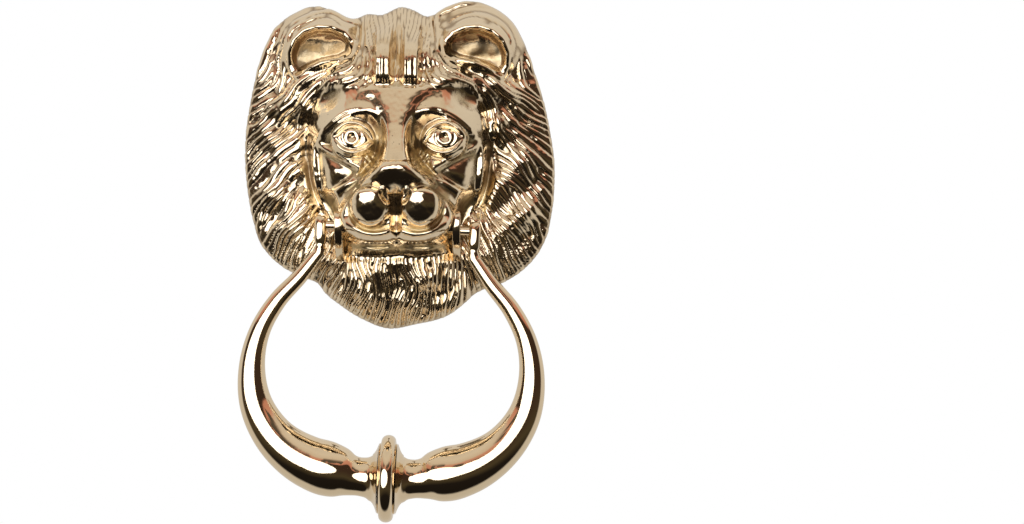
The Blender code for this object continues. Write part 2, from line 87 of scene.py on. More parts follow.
# Through-door fixings
DOOR_THICKNESS = 44.0
BOSS_RADIUS = 6.0
FIXING_HEIGHTS = {"upper": 34.0, "lower": -38.0}
BOSS_TOP = {"upper": 20.0, "lower": 15.2}
TAPPED_DEPTH = 14.0
TAPPED_RADIUS = 3.25
STUD_RADIUS = 3.0
STUD_END = DOOR_THICKNESS + 9.0
WASHER_RADIUS = 8.0
WASHER_THICKNESS = 1.6
NUT_ACROSS_CORNERS = 11.5
NUT_HEX_HEIGHT = 5.5
NUT_DOME_RADIUS = 4.7
FIT_GAP = 0.3
SIDES = {"left": -1, "right": 1}

# Outline of the mask (across, up), anticlockwise from the tuft between the ears
OUTLINE = (
    (1, 60.6), (-7, 57.2), (-12, 57.9), (-20, 56.3), (-26, 59.4), (-32.5, 61), (-40, 58.6), (-46.5, 54),
    (-50.8, 47.5), (-55, 35.5), (-57.7, 23), (-59.3, 11), (-59.4, -1), (-58.5, -11), (-56.2, -22.5),
    (-54, -29.5), (-50, -35), (-44.5, -39.6), (-37, -43.2), (-31.6, -45.6), (-28.6, -49.4), (-24, -52.9),
    (-14.5, -59), (-4.5, -62.8), (6, -61.2), (19, -57.5), (25, -53), (28.8, -49.6), (32.5, -47.7),
    (39, -45.5), (46.5, -41), (52.4, -35), (56, -28.5), (58.3, -19), (59.4, -8), (59.3, 2), (57.9, 12),
    (55.4, 24), (51.6, 36), (47.2, 48), (43.5, 54.4), (36, 60.4), (27, 62.9), (18, 60.6), (11, 56.8),
    (5.5, 59.2),
)

# Bare skin of the face and the hollow of the ear, right half, which hair keeps out of
FACE = (
    (0, 29.5), (4, 29), (9, 27.2), (14, 26.4), (19.5, 28), (25, 27.2), (29.4, 23.5), (30.6, 19), (32, 14),
    (34.4, 8), (35.4, 0), (34.6, -8), (31.4, -14), (27, -18), (22.6, -24), (22.4, -31), (20, -33.5),
    (14, -33.2), (8, -33.6), (0, -34.5),
)
SOCKET = (
    (5, 13), (6.4, 17), (10, 18.8), (14, 18.7), (18.5, 17), (23.5, 14.1), (28.5, 10.6), (30.5, 6.5),
    (26.5, 1.5), (20, -1.5), (13, -2), (8.2, 0.5), (5.8, 5), (4.9, 9.5),
)
CHEEK_FACET = ((29.6, 4.0), (15.8, -3.6), (28.6, -11.2))
EAR_CUP = (
    (17.9, 46), (20.5, 49.2), (25, 51), (30.5, 51.3), (35.5, 49.6), (39, 46.3), (40.9, 42), (40.8, 37.5),
    (38.8, 34.2), (34, 36.6), (29.2, 38.6), (22.5, 40), (18.8, 42),
)

# What the metal reflects: the room on the camera's side by height (-1 to 1), and the room behind the object
ROOM_FRONT = (
    (-1.0, (0.012, 0.010, 0.008)), (-0.62, (0.015, 0.012, 0.010)), (-0.36, (0.07, 0.055, 0.03)),
    (0.05, (0.05, 0.03, 0.02)), (0.41, (0.05, 0.03, 0.02)), (0.45, (0.60, 0.27, 0.19)),
    (0.60, (0.66, 0.34, 0.25)), (0.67, (0.68, 0.58, 0.48)), (0.85, (0.75, 0.68, 0.59)),
    (1.0, (0.70, 0.64, 0.57)),
)
ROOM_BACK_LOW = (0.60, 0.57, 0.52, 1)
ROOM_BACK_HIGH = (0.78, 0.74, 0.69, 1)
FURNITURE = (0.10, 0.085, 0.065, 1)
WHITE = (1, 1, 1, 1)

# How the hair lies, root to tip: strokes of the mane and ears (right half) and of the beard
MANE_STROKES = (
    ((1, 60.5), (0.5, 50), (0.4, 40), (0.2, 33)),
    ((4.5, 58), (3.4, 50), (3.6, 44), (3.6, 30)),
    ((8, 57.5), (7.2, 50), (6.7, 44), (6.4, 30)),
    ((11, 57), (11.2, 50), (10.5, 42), (9.5, 36), (11, 31)),
    ((13, 52), (12.8, 44), (13, 38), (15.5, 32.5), (20, 29.5), (26, 26), (31, 19), (34.5, 10)),
    ((9, 30), (14, 28.3), (20, 26.2), (26, 21.5), (31, 15.3), (34, 8), (35.3, 0)),
    ((14, 55), (14.5, 47), (15, 40), (18, 35.5), (24, 33.6), (31, 31.5), (36, 27), (40, 20), (46, 15)),
    ((16.5, 50), (16.2, 43), (19, 38.8), (25, 36.8), (32, 34.5), (37.5, 31.5), (42, 26), (48, 22.5),
     (56, 17)),
    ((16, 53), (20, 53.5), (25, 55.5), (31, 56), (37, 54), (42, 49.5), (44.2, 42), (43.8, 35), (46, 29.5),
     (53, 25)),
    ((19, 57.5), (25, 60), (32, 60.5), (39, 57), (44.5, 51), (48, 44), (51, 36)),
    ((30, 30), (35, 24.5), (37.8, 17), (39.5, 11), (44, 7.5)),
    ((37.5, 14), (43, 11), (50, 5), (57.5, -3.5)),
    ((36.5, 3.5), (42, 0), (49, -6.5), (56.5, -15)),
    ((35.5, -6), (40.5, -10.5), (46.5, -18), (53, -27)),
    ((32, -16), (36.5, -21.5), (42, -30), (47, -38)),
    ((29.5, -23), (33, -29.5), (37, -37), (40, -43)),
    ((28, -32), (30.5, -38.5), (32.5, -46)),
)
BEARD_STROKES = (
    ((-21.6, -34.5), (-22.9, -38.9), (-25.5, -43.2), (-28.1, -47)),
    ((-18.2, -34.9), (-18.6, -39.3), (-19.9, -44.4), (-23.8, -50.5)),
    ((-13.9, -34.5), (-14.3, -40.2), (-13.4, -44.9), (-13.9, -49.2), (-16.5, -54)),
    ((-8.7, -35.4), (-8.7, -41), (-7, -46.2), (-7.4, -51.4), (-10.4, -58.3)),
    ((-3.5, -35.8), (-1.8, -41.9), (-0.5, -46.2), (-0.9, -50.5), (-4.4, -59.1)),
    ((1.6, -33.3), (1.2, -40.2), (2.9, -44.4), (2.9, -49.2), (0.4, -60)),
    ((7.3, -33.3), (7.7, -41), (9.4, -46.2), (9, -51.4), (6, -59.1)),
    ((12.4, -32.4), (14.1, -40.2), (14.1, -46.2), (12.8, -53.1), (10.3, -58.3)),
    ((17.2, -34.1), (18.4, -41), (18, -49.1), (16.3, -58.1)),
    ((23.2, -36.7), (23.6, -44), (22.8, -53.8)),
    ((26.2, -40.2), (27.5, -45.3), (27.5, -49.6)),
    ((27.1, -41.4), (29.7, -44.4), (30.9, -45.7)),
)
BEARD_TOP = -33.0
BEARD_HALF_WIDTH = 27.5


# ---- shapes of the relief


def hermite(v, knots, values):
    """A smooth curve through (knot, value) pairs, held at its end values outside them."""
    knots, values = np.array(knots, float), np.array(values, float)
    slopes = np.gradient(values, knots)
    v = np.clip(v, knots[0], knots[-1])
    i = np.clip(np.searchsorted(knots, v) - 1, 0, len(knots) - 2)
    span = knots[i + 1] - knots[i]
    t = (v - knots[i]) / span
    rise = (3 - 2 * t) * t * t
    bend = (t**3 - 2 * t * t + t) * slopes[i] + (t**3 - t * t) * slopes[i + 1]
    return values[i] + rise * (values[i + 1] - values[i]) + bend * span


def outline_radius(angle):
    """Distance from the origin to the outline of the mask, by direction."""
    across, up = np.array(OUTLINE, float).T
    angles, radii = np.arctan2(up, across), np.hypot(across, up)
    order = np.argsort(angles)
    angles, radii = angles[order], radii[order]
    turn = 2 * math.pi
    angles = np.concatenate([angles[-3:] - turn, angles, angles[:3] + turn])
    radii = np.concatenate([radii[-3:], radii, radii[:3]])
    return hermite(angle, angles, radii)


def reach(x, z):
    """0 in the middle of the mask, 1 on its outline."""
    return np.hypot(x, z) / outline_radius(np.arctan2(z, x))


def smooth_max(a, b, rounding):
    return 0.5 * (a + b + np.sqrt((a - b) ** 2 + rounding**2))


def ease(start, end, v):
    t = np.clip((v - start) / (end - start), 0, 1)
    return t * t * (3 - 2 * t)


def oval(x, z, centre, half_width, half_height, tilt=0):
    """Distance from the centre of a tilted oval, 1 on its outline."""
    c, s = math.cos(math.radians(tilt)), math.sin(math.radians(tilt))
    u = ((x - centre[0]) * c + (z - centre[1]) * s) / half_width
    v = ((z - centre[1]) * c - (x - centre[0]) * s) / half_height
    return np.hypot(u, v)


def cap(q, squareness=2, fullness=0.5):
    """1 in the middle of an oval, falling to 0 at its outline."""
    return np.clip(1 - q**squareness, 0, 1) ** fullness


def dent(q):
    return np.exp(-q * q)


def through(stations, spacing=1):
    """A smooth path through a few stations, with a point every so many millimetres."""
    stations = np.array(stations, float)
    steps = np.hypot(*np.diff(stations[:, :2], axis=0).T)
    knots = np.concatenate([[0], np.cumsum(steps)])
    along = np.linspace(0, knots[-1], max(3, int(knots[-1] / spacing) + 1))
    return np.column_stack([hermite(along, knots, column) for column in stations.T])


def ridge(x, z, *stations):
    """Height of a rounded ridge along stations (across, up, height, half width)."""
    path = through(stations)
    margin = 3 * path[:, 3].max()
    low, high = path.min(axis=0) - margin, path.max(axis=0) + margin
    near = (x > low[0]) & (x < high[0]) & (z > low[1]) & (z < high[1])
    px, pz = x[near], z[near]
    best = np.zeros_like(px)
    for a, b in zip(path[:-1], path[1:]):
        dx, dz = b[0] - a[0], b[1] - a[1]
        t = np.clip(((px - a[0]) * dx + (pz - a[1]) * dz) / (dx * dx + dz * dz), 0, 1)
        distance = np.hypot(px - a[0] - t * dx, pz - a[1] - t * dz)
        crest = a[2] + t * (b[2] - a[2])
        half_width = a[3] + t * (b[3] - a[3])
        best = np.maximum(best, crest * np.exp(-((distance / half_width) ** 2)))
    height = np.zeros_like(x)
    height[near] = best
    return height


def inside(x, z, corners):
    """Distance inside a closed outline, negative outside it."""
    nearest = np.full_like(x, np.inf)
    within = np.zeros(x.shape, bool)
    for a, b in zip(corners, corners[1:] + corners[:1]):
        dx, dz = b[0] - a[0], b[1] - a[1]
        t = np.clip(((x - a[0]) * dx + (z - a[1]) * dz) / (dx * dx + dz * dz), 0, 1)
        nearest = np.minimum(nearest, np.hypot(x - a[0] - t * dx, z - a[1] - t * dz))
        crosses = (a[1] > z) != (b[1] > z)
        within ^= crosses & (x < dx * (z - a[1]) / (dz if dz else 1) + a[0])
    return np.where(within, nearest, -nearest)


def mane_and_head(x, z):
    """The broad forms: mane sloping to the edge, and the head dome standing out of it."""
    slope = np.clip((reach(x, z) - 0.5) / 0.5, 0, 1)
    mane = EDGE_HEIGHT + 12.2 * cap(slope, 1.7, 1)
    mane -= 3.6 * ease(0.84, 0.56, reach(x, z)) * ease(32, 14, z) * ease(-44, -34, z)
    crown = hermite(
        z,
        (-64, -60, -56, -50, -44, -38, -34, -30, -26, -14, 0, 10, 20, 30, 40, 50, 57, 62),
        (4.5, 7.4, 10, 13.2, 15.6, 17.4, 18.6, 26, 29.3, 30, 31, 32, 31.6, 28.2, 23.5, 16.8, 9.5, 3),
    )
    half_width = hermite(
        z,
        (-64, -55, -46, -38, -30, -22, -14, -5, 5, 18, 28, 36, 44, 52, 60),
        (20, 27, 28.5, 25, 24, 27.5, 32, 35, 36, 36, 34, 29, 22, 17, 14),
    )
    return smooth_max(mane, crown * cap(np.abs(x) / half_width, 3.2, 0.55), 1.5)


def with_muzzle(h, ax, z):
    """Nose bridge, muzzle block, whisker pads and nose."""
    bridge = hermite(z, (-6, 0, 5, 12, 20, 28, 34), (46.9, 43.9, 41, 37.4, 33.8, 30.2, 27.4))
    bridge_width = hermite(z, (-8, -3, 0, 6, 14, 20, 28), (10.8, 8.4, 6.6, 5, 6, 9.5, 16))
    bridge = bridge - 7 * (ax / bridge_width) ** 4
    bridge -= 60 * ease(27, 42, z) + 60 * ease(-2.5, -9, z)
    h = smooth_max(h, bridge, 0.8 + 1.2 * ease(10, 22, z))
    muzzle = hermite(z, (-33, -30.5, -27, -20, -12, -6, 0), (25, 31, 34.5, 36.3, 37, 37, 33))
    muzzle_width = hermite(z, (-32, -28, -22, -15, -8, 0), (15, 19.5, 21.5, 19.5, 13, 7))
    muzzle -= 10 * (ax / muzzle_width) ** 6
    muzzle -= 30 * ease(-30, -34.5, z) + 60 * ease(-5, 9, z)
    h = smooth_max(h, muzzle, 1.2)
    pad = oval(ax, z, (9.2, -17.2), 7.3, 7.3)
    bulge = 35.2 + 9.6 * cap(oval(ax, z, (9, -11.7), 9.6, 13.5)) - 1.5 * pad**10
    h = np.where(pad < 1.15, smooth_max(h, bulge, 0.5), h)
    tip = hermite(
        z, (-14, -12, -10, -8, -6, -4, -2.5, -1, 1), (38.9, 40.8, 42.6, 44.2, 45.7, 46.8, 47.1, 46.6, 44.4)
    )
    tip_width = hermite(z, (-13.5, -11, -9, -7, -5, -3, -1), (5.5, 9, 10.4, 9.9, 8.6, 7, 5.5))
    tip = tip - 3.4 * (ax / tip_width) ** 4
    tip -= 40 * ease(-12, -15.5, z) + 40 * ease(-0.5, 5, z)
    h = smooth_max(h, tip, 0.5)
    return h - 4.2 * dent(oval(ax, z, (0, -20.5), 1.7, 8.5))


def with_lips_and_nostrils(h, ax, z):
    h = h + ridge(ax, z, (10.5, -6.5, 0.6, 1.2), (14.5, -10.2, 1.8, 1.5), (18.6, -14.8, 2.4, 1.7),
                  (20.6, -20, 2.4, 1.8), (19.2, -25, 1.6, 1.8))
    h += ridge(ax, z, (2.3, -26, 2.2, 2), (6, -27.1, 2.8, 2.1), (10, -27, 2.8, 2.1),
               (14.5, -25.6, 2.4, 2.1), (18, -23, 1.4, 2))
    h -= ridge(ax, z, (0, -29.6, 3, 0.9), (4, -30.8, 3, 0.9), (10, -31.1, 2.8, 1), (15, -29.8, 2.4, 1.1),
               (19.5, -26.8, 1.6, 1.2))
    h += ridge(ax, z, (0, -31.8, 0.8, 1), (8, -32.8, 1, 1), (15, -31.6, 0.6, 1))
    h -= ridge(ax, z, (1.6, -23.6, 1.2, 0.6), (5, -25, 1.6, 0.6), (9.4, -25.4, 1.6, 0.6),
               (13.6, -23.8, 1.5, 0.7), (16.6, -20.2, 1.4, 0.8), (17.2, -15.4, 1, 0.8))
    h += ridge(ax, z, (2.2, -13.4, 0.6, 0.45), (2.5, -18, 0.9, 0.5), (2.1, -24, 0.7, 0.5))
    h -= ridge(ax, z, (3.4, -14.2, 2, 0.8), (4.6, -12.6, 2.2, 0.8), (5.4, -11.4, 0.8, 0.6))
    h += ridge(ax, z, (2.7, -13, 0.9, 0.45), (3.2, -11, 1.5, 0.5), (4.6, -10, 1.5, 0.5),
               (6.2, -10.8, 0.7, 0.5))
    for shift in (0, 2, 4):
        h -= ridge(ax, z, (9.5 + shift, -5.5 - 0.9 * shift, 0.2, 0.35),
                   (12.2 + shift, -7.2 - shift, 0.6, 0.4), (14.5 + shift, -9.8 - 1.1 * shift, 0.2, 0.35))
    return h


def with_eyes(h, x, z):
    """A bulging eye in each socket with lids, folds and a ringed iris. The left one sits further in."""
    ax = np.abs(x)
    socket = inside(ax, z, SOCKET)
    h = h - 3.4 * ease(-1.6, 6.5, socket) * ease(-6, 8, z)
    h -= 2.2 * dent(oval(ax, z, (8.2, 3.4), 1.8, 5.5, -10))
    for lean in (0, 1, 2):
        h -= ridge(ax, z, (7 + 1.3 * lean, 1 - lean, 0.2, 0.4),
                   (8.8 + 1.5 * lean, 4.2 - 1.2 * lean, 0.9, 0.5),
                   (10.4 + 1.7 * lean, 7 - 2 * lean, 0.2, 0.4))
    ex = ax + np.where(x < 0, 0.7, -0.7)
    ball = oval(ex, z, (16.8, 8.3), 8.8, 7.9, -6)
    h = np.where(ball < 1, smooth_max(h, 27.2 + 5.4 * cap(ball, 2.1), 0.7), h)
    h += ridge(ex, z, (8.6, 7.8, 0.5, 0.8), (10.6, 11.4, 1.3, 0.8), (14.2, 14.3, 1.5, 0.9),
               (18.6, 15, 1.5, 0.9), (23, 12.4, 1.2, 0.9), (26.5, 8.4, 0.4, 0.8))
    h -= ridge(ex, z, (9.4, 7.4, 0.5, 0.45), (12, 11.2, 1.2, 0.5), (15.6, 13.2, 1.4, 0.5),
               (19.6, 12.8, 1.3, 0.5), (23.2, 9.8, 0.7, 0.5))
    h += ridge(ex, z, (9.4, 7.2, 0.3, 0.6), (12.4, 4.6, 0.8, 0.6), (17, 3.5, 0.9, 0.6),
               (21.2, 4.8, 0.8, 0.6), (24, 8, 0.3, 0.6))
    h -= ridge(ex, z, (10, 7.4, 0.3, 0.4), (13, 5.7, 0.8, 0.4), (17, 4.9, 0.9, 0.45), (20.6, 6, 0.8, 0.4),
               (23, 8.6, 0.4, 0.4))
    h -= ridge(ex, z, (10.4, 3.6, 0.4, 0.4), (14, 1.8, 1, 0.45), (19, 1.6, 1, 0.45), (23.6, 4.2, 0.5, 0.4))
    iris = np.hypot(ex - 17.3, z - 9.3)
    h -= 0.6 * dent((iris - 3.5) / 0.5)
    return h - 1.5 * dent(iris / 1.35)


def with_brows(h, ax, z):
    """Heavy brows, the temple's hollow under its locks of hair, and two bulging locks on the forehead."""
    h = h - 3.6 * dent(oval(ax, z, (25.4, 24), 5.6, 4, -30))
    h += ridge(ax, z, (6, 14, 0.4, 1.9), (7.4, 17.2, 0.9, 2.4), (10, 19, 1.2, 2.6), (14, 19.2, 1.3, 2.6),
               (19, 17.7, 1.3, 2.5), (24, 14.8, 1.3, 2.2), (29.2, 10.8, 0.9, 1.7))
    for drop in (0, 1.3, 2.6):
        h -= ridge(ax, z, (13, 19.9 - drop, 0.2, 0.35), (19, 18.2 - drop, 0.7, 0.4),
                   (27, 12.8 - drop, 0.5, 0.4))
    lobe = hermite(z, (27, 29, 31.5, 36, 40.5, 44, 48, 53, 57), (0, 0.9, 3.4, 5.6, 7.4, 6.6, 4.6, 1.6, 0))
    h += lobe * dent(((ax - 5.2) / 3.5) ** 3)
    for across in (3.1, 5.3, 7.5):
        h += ridge(ax, z, (across, 28.6, 0.2, 0.8), (across, 32, 1, 0.95), (across, 39, 1, 0.95),
                   (across + 0.1, 45, 0.1, 0.8))
    h += ridge(ax, z, (12, 33, 0.8, 1.8), (18, 31.6, 1.8, 2.2), (24, 31, 2.6, 2.5), (30, 29.2, 3, 2.6),
               (34.6, 24.6, 3, 2.5), (37.4, 18, 2.6, 2.2), (38.6, 10, 1.2, 2))
    return h + ridge(ax, z, (13, 39, 0.6, 2.4), (20, 36.6, 2, 2.8), (28, 34.6, 4.2, 3.2),
                     (35, 32, 4.2, 3.2), (41, 27, 3, 3), (45, 21, 1.6, 2.6))


def with_cheeks(h, ax, z):
    """Polished triangular facets set in a raised border, and the thin ridges and folds round them."""
    corners = np.array(CHEEK_FACET)
    sides = np.roll(corners, -1, axis=0) - corners
    depths = [(u * (z - b) - v * (ax - a)) / math.hypot(u, v) for (a, b), (u, v) in zip(corners, sides)]
    facet = -np.log(sum(np.exp(-0.9 * depth) for depth in depths)) / 0.9
    h = h - 2.4 * ease(-2.1, 0, facet) + 1.2 * ease(-0.8, 3.6, facet) + 0.7 * dent(facet + 2.7)
    h += ridge(ax, z, (31.8, 6, 0.6, 0.7), (32.3, -1, 1.6, 0.8), (31.6, -8, 1.4, 0.8),
               (29.5, -13, 0.5, 0.7))
    h -= ridge(ax, z, (33.8, 5, 0.8, 0.8), (34, -2, 1.2, 0.8), (32.8, -9, 1.2, 0.9), (29.8, -16, 1, 1))
    for shift in (0, 1.6, 3.2, 4.8):
        h -= ridge(ax, z, (6.6 + shift, 9.5 - 1.2 * shift, 0.3, 0.5),
                   (8.4 + shift, 2.5 - 1.2 * shift, 1.3, 0.6), (11.8 + shift, -3.6 - 0.7 * shift, 0.3, 0.5))
    return h


def with_ears(h, ax, z):
    ear = oval(ax, z, (29.3, 43.5), 15, 13.5, 10)
    h = np.where(ear < 1.3, smooth_max(h, 21 - 11 * ear**2.2, 1.5), h)
    cup = inside(ax, z, EAR_CUP)
    floor = hermite(z, (35, 38, 41, 44, 47, 50), (9.9, 9.3, 9.4, 10.4, 12, 14))
    floor += 0.7 * dent(oval(ax, z, (27, 42.5), 3.4, 2.6, 20)) + 0.012 * (ax - 29) ** 2
    walls = ease(-0.3, 2, cup)
    h = h + 1.3 * dent((cup + 1.2) / 0.95)
    return h * (1 - walls) + floor * walls


def with_ring_clearance(h, ax, z):
    """The hollows beside the muzzle where the knuckles turn and the arms pass over the mane."""
    groove = ridge(ax, z, (36, 9, 0.8, 1.2), (35.2, 2, 1.6, 1.3), (34.2, -6, 2.2, 1.6), (32, -13, 3, 2.2),
                   (30, -18, 3, 3))
    recess = oval(ax, z, (29, -25), 6.5, 13, -8)
    floor = 11.0 + 30 * np.clip(recess - 0.8, 0, None) ** 2
    h = h - groove
    return np.where((recess < 1.6) & (ax > 22.5), -smooth_max(-h, -floor, 1), h)


def wobble(x, z, size, seed):
    """Smooth irregular waves of about one length, mostly between -1 and 1."""
    draw = random.Random(seed)
    total = np.zeros_like(x)
    for _ in range(WAVES):
        heading, phase = draw.uniform(0, math.pi), draw.uniform(0, 2 * math.pi)
        length = size * draw.uniform(0.7, 1.6)
        total += np.sin((x * math.cos(heading) + z * math.sin(heading)) * 2 * math.pi / length + phase)
    return total / math.sqrt(WAVES)


def front_height(x, z):
    """Height of the mask's front above its back plane, without hair."""
    ax = np.abs(x)
    h = mane_and_head(x, z)
    h = with_eyes(h, x, z)
    h = with_brows(h, ax, z)
    h = with_cheeks(h, ax, z)
    h = with_muzzle(h, ax, z)
    h = with_lips_and_nostrils(h, ax, z)
    h = with_ears(h, ax, z)
    h = with_ring_clearance(h, ax, z)
    return np.maximum(h, EDGE_HEIGHT)


# ---- hair


class Flow:
    """The direction in which hair lies at any place, blended from strokes."""

    def __init__(self):
        side = np.arange(-66, 66 + FIELD_CELL, FIELD_CELL)
        self.x, self.z = np.meshgrid(side, side)
        self.along = np.zeros((2, *self.x.shape))
        beard = (self.z < BEARD_TOP) & (np.abs(self.x) < BEARD_HALF_WIDTH)
        mane = MANE_STROKES + tuple(tuple((-u, v) for u, v in stroke) for stroke in MANE_STROKES)
        for strokes, zone in ((mane, ~beard), (BEARD_STROKES, beard)):
            self.blend(strokes, zone)
        turn = np.radians(11 * wobble(self.x, self.z, 15, seed=1) + 4 * wobble(self.x, self.z, 7, seed=2))
        c, s = np.cos(turn), np.sin(turn)
        u, v = self.along
        self.along = np.array([c * u - s * v, s * u + c * v])

    def blend(self, strokes, zone):
        """Averages doubled angles, so that two strokes drawn opposite ways still agree."""
        x, z = self.x[zone], self.z[zone]
        total = np.zeros((2, len(x)))
        for stroke in strokes:
            path = through(stroke)
            for a, b in zip(path[:-1], path[1:]):
                angle = 2 * math.atan2(b[1] - a[1], b[0] - a[0])
                weight = 1 / ((x - a[0]) ** 2 + (z - a[1]) ** 2 + 0.5) ** 2.5
                total += weight * np.array([[math.cos(angle)], [math.sin(angle)]])
        angle = 0.5 * np.arctan2(total[1], total[0])
        self.along[:, zone] = np.array([np.cos(angle), np.sin(angle)])

    def at(self, x, z):
        column, row = int(round((x + 66) / FIELD_CELL)), int(round((z + 66) / FIELD_CELL))
        return self.along[0, row, column], self.along[1, row, column]


def grows(x, z):
    """How much hair stands at each place, 0 on the skin and 1 in the mane."""
    ax = np.abs(x)
    off_lobes = ease(0.85, 1.25, oval(ax, z, (5.3, 36.5), 3.9, 8.5))
    off_ears = ease(-1.7, -3, inside(ax, z, EAR_CUP))
    return ease(-0.2, -1.8, inside(ax, z, FACE)) * off_ears * off_lobes


class Comb:
    """Lays strands of hair side by side along a flow."""

    def __init__(self, seed):
        self.flow = Flow()
        self.random = random.Random(seed)
        self.cells = {}
        self.strands = []
        side = np.arange(-66, 66.5, 0.5)
        x, z = np.meshgrid(side, side)
        self.bald = (grows(x, z) < 0.35) | (reach(x, z) > 1)
        crown = ease(27, 33, z) * ease(17, 12, np.abs(x))
        fine = 1 - 0.34 * crown - 0.18 * ease(-30, -34, z)
        self.pitches = HAIR_PITCH * fine * (1 + 0.16 * wobble(x, z, 9, seed=3))

    def look_up(self, table, x, z):
        return table[int(round(2 * (z + 66))), int(round(2 * (x + 66)))]

    def is_clear(self, x, z, gap):
        column, row = int(x // HAIR_CELL), int(z // HAIR_CELL)
        for i in (column - 1, column, column + 1):
            for k in (row - 1, row, row + 1):
                if any((x - u) ** 2 + (z - v) ** 2 < gap * gap for u, v in self.cells.get((i, k), ())):
                    return False
        return True

    def follow(self, x, z, sense, length):
        """Points along the flow from a start, until the hair ends or another strand is too near."""
        points = []
        dx, dz = self.flow.at(x, z)
        dx, dz = sense * dx, sense * dz
        while len(points) * HAIR_STEP < length and not self.look_up(self.bald, x, z):
            if not self.is_clear(x, z, 0.55 * self.look_up(self.pitches, x, z)):
                break
            points.append((x, z))
            u, v = self.flow.at(x, z)
            if u * dx + v * dz < 0:
                u, v = -u, -v
            dx, dz = 0.6 * dx + 0.4 * u, 0.6 * dz + 0.4 * v
            size = math.hypot(dx, dz) or 1.0
            dx, dz = dx / size, dz / size
            x, z = x + HAIR_STEP * dx, z + HAIR_STEP * dz
        return points

    def grow(self, x, z):
        if self.look_up(self.bald, x, z) or not self.is_clear(x, z, 0.9 * self.look_up(self.pitches, x, z)):
            return None
        lengths = [self.random.uniform(*HAIR_LENGTHS) / 2 for _ in range(2)]
        strand = self.follow(x, z, -1, lengths[0])[::-1] + self.follow(x, z, 1, lengths[1])[1:]
        if len(strand) * HAIR_STEP < 2.5:
            return None
        for u, v in strand:
            self.cells.setdefault((int(u // HAIR_CELL), int(v // HAIR_CELL)), []).append((u, v))
        self.strands.append(strand)
        return strand

    def fill(self, starts):
        """Grows strands beside and beyond those already laid, until there's no room."""
        queue = [strand for strand in (self.grow(*start) for start in starts) if strand]
        while queue:
            strand = queue.pop(0)
            places = []
            for a, b in zip(strand[:-4:4], strand[4::4]):
                size = math.hypot(b[0] - a[0], b[1] - a[1]) or 1.0
                dx, dz = (b[0] - a[0]) / size, (b[1] - a[1]) / size
                shift = self.look_up(self.pitches, *a) * self.random.uniform(0.92, 1.12)
                places += [(a[0] - dz * shift, a[1] + dx * shift), (a[0] + dz * shift, a[1] - dx * shift)]
            for end, before in ((strand[-1], strand[-3]), (strand[0], strand[2])):
                places.append((end[0] + 2.4 * (end[0] - before[0]), end[1] + 2.4 * (end[1] - before[1])))
            queue += [beside for beside in (self.grow(*place) for place in places) if beside]
        return self.strands


def hair_height(x, z):
    """Rounded strands meeting in sharp grooves, as heights about the skin, gathered in uneven locks."""
    comb = Comb(seed=4)
    starts = [stroke[len(stroke) // 2] for stroke in MANE_STROKES + BEARD_STROKES]
    starts += [(-u, v) for u, v in starts]
    strands = comb.fill(starts)
    owner = [number for number, strand in enumerate(strands) for _ in strand]
    strength = [comb.random.uniform(0.65, 1.25) for _ in strands]
    lift = [comb.random.uniform(-0.22, 0.22) for _ in strands]
    taper = []
    for strand in strands:
        to_end = np.minimum(np.arange(len(strand)), np.arange(len(strand))[::-1])
        taper += np.minimum(1, 0.35 + to_end * HAIR_STEP / 4).tolist()
    tree = kdtree.KDTree(len(owner))
    for index, (u, v) in enumerate(point for strand in strands for point in strand):
        tree.insert((u, v, 0), index)
    tree.balance()
    cover = grows(x, z)
    height = np.zeros_like(x)
    level = np.zeros_like(x)
    for i in np.flatnonzero(cover > 0.01):
        found = tree.find_n((x[i], z[i], 0), 12)
        _, nearest, own = found[0]
        other = next((gap for _, index, gap in found if owner[index] != owner[nearest]), found[-1][2])
        share = 2 * own / (own + max(other, own))
        strand = owner[nearest]
        crest = 1 - share**3.4
        bare = min(1, max(0, own / HAIR_PITCH - 0.75) / 0.4)
        height[i] = (strength[strand] * taper[nearest] * crest - 0.5) * (1 - bare)
        level[i] = lift[strand] * crest
    locks = 0.75 * wobble(x, z, 12, seed=6) * ease(0.98, 0.85, reach(x, z))
    return HAIR_DEPTH * height * cover, (level + locks) * cover


# ---- mesh helpers


def smooth_mesh(name, vertices, faces, sharp_angle=40):
    mesh = bpy.data.meshes.new(name)
    mesh.from_pydata((np.asarray(vertices, float) * MM).tolist(), [], faces)
    mesh.update()
    mesh.shade_smooth()
    if sharp_angle:
        mesh.set_sharp_from_angle(angle=math.radians(sharp_angle))
    return mesh


def add_object(name, data):
    obj = bpy.data.objects.new(name, data)
    bpy.context.scene.collection.objects.link(obj)
    return obj


def show(name, mesh, material, body, node, matrix=None):
    """A piece that rides on a body and stands for a CAD node."""
    obj = add_object(name, mesh)
    mesh.materials.append(material)
    if matrix is not None:
        mesh.transform(matrix)
    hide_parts(node)
    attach(obj, body)
    return obj


def quads_between(first, second):
    """Faces that join two closed loops of vertex numbers."""
    return [(first[i - 1], first[i], second[i], second[i - 1]) for i in range(len(first))]


def sweep(sections):
    """Vertices and faces of closed loops of equal length, with a fan over both ends."""
    around = len(sections[0])
    loops = np.arange(len(sections) * around).reshape(-1, around).tolist()
    faces = [quad for first, second in zip(loops, loops[1:]) for quad in quads_between(first, second)]
    start = len(sections) * around
    faces += [(start, loops[0][i], loops[0][i - 1]) for i in range(around)]
    faces += [(start + 1, loops[-1][i - 1], loops[-1][i]) for i in range(around)]
    ends = [np.mean(sections[0], axis=0), np.mean(sections[-1], axis=0)]
    return np.vstack([*sections, ends]), faces


def circle(around):
    return np.arange(around) * 2 * math.pi / around


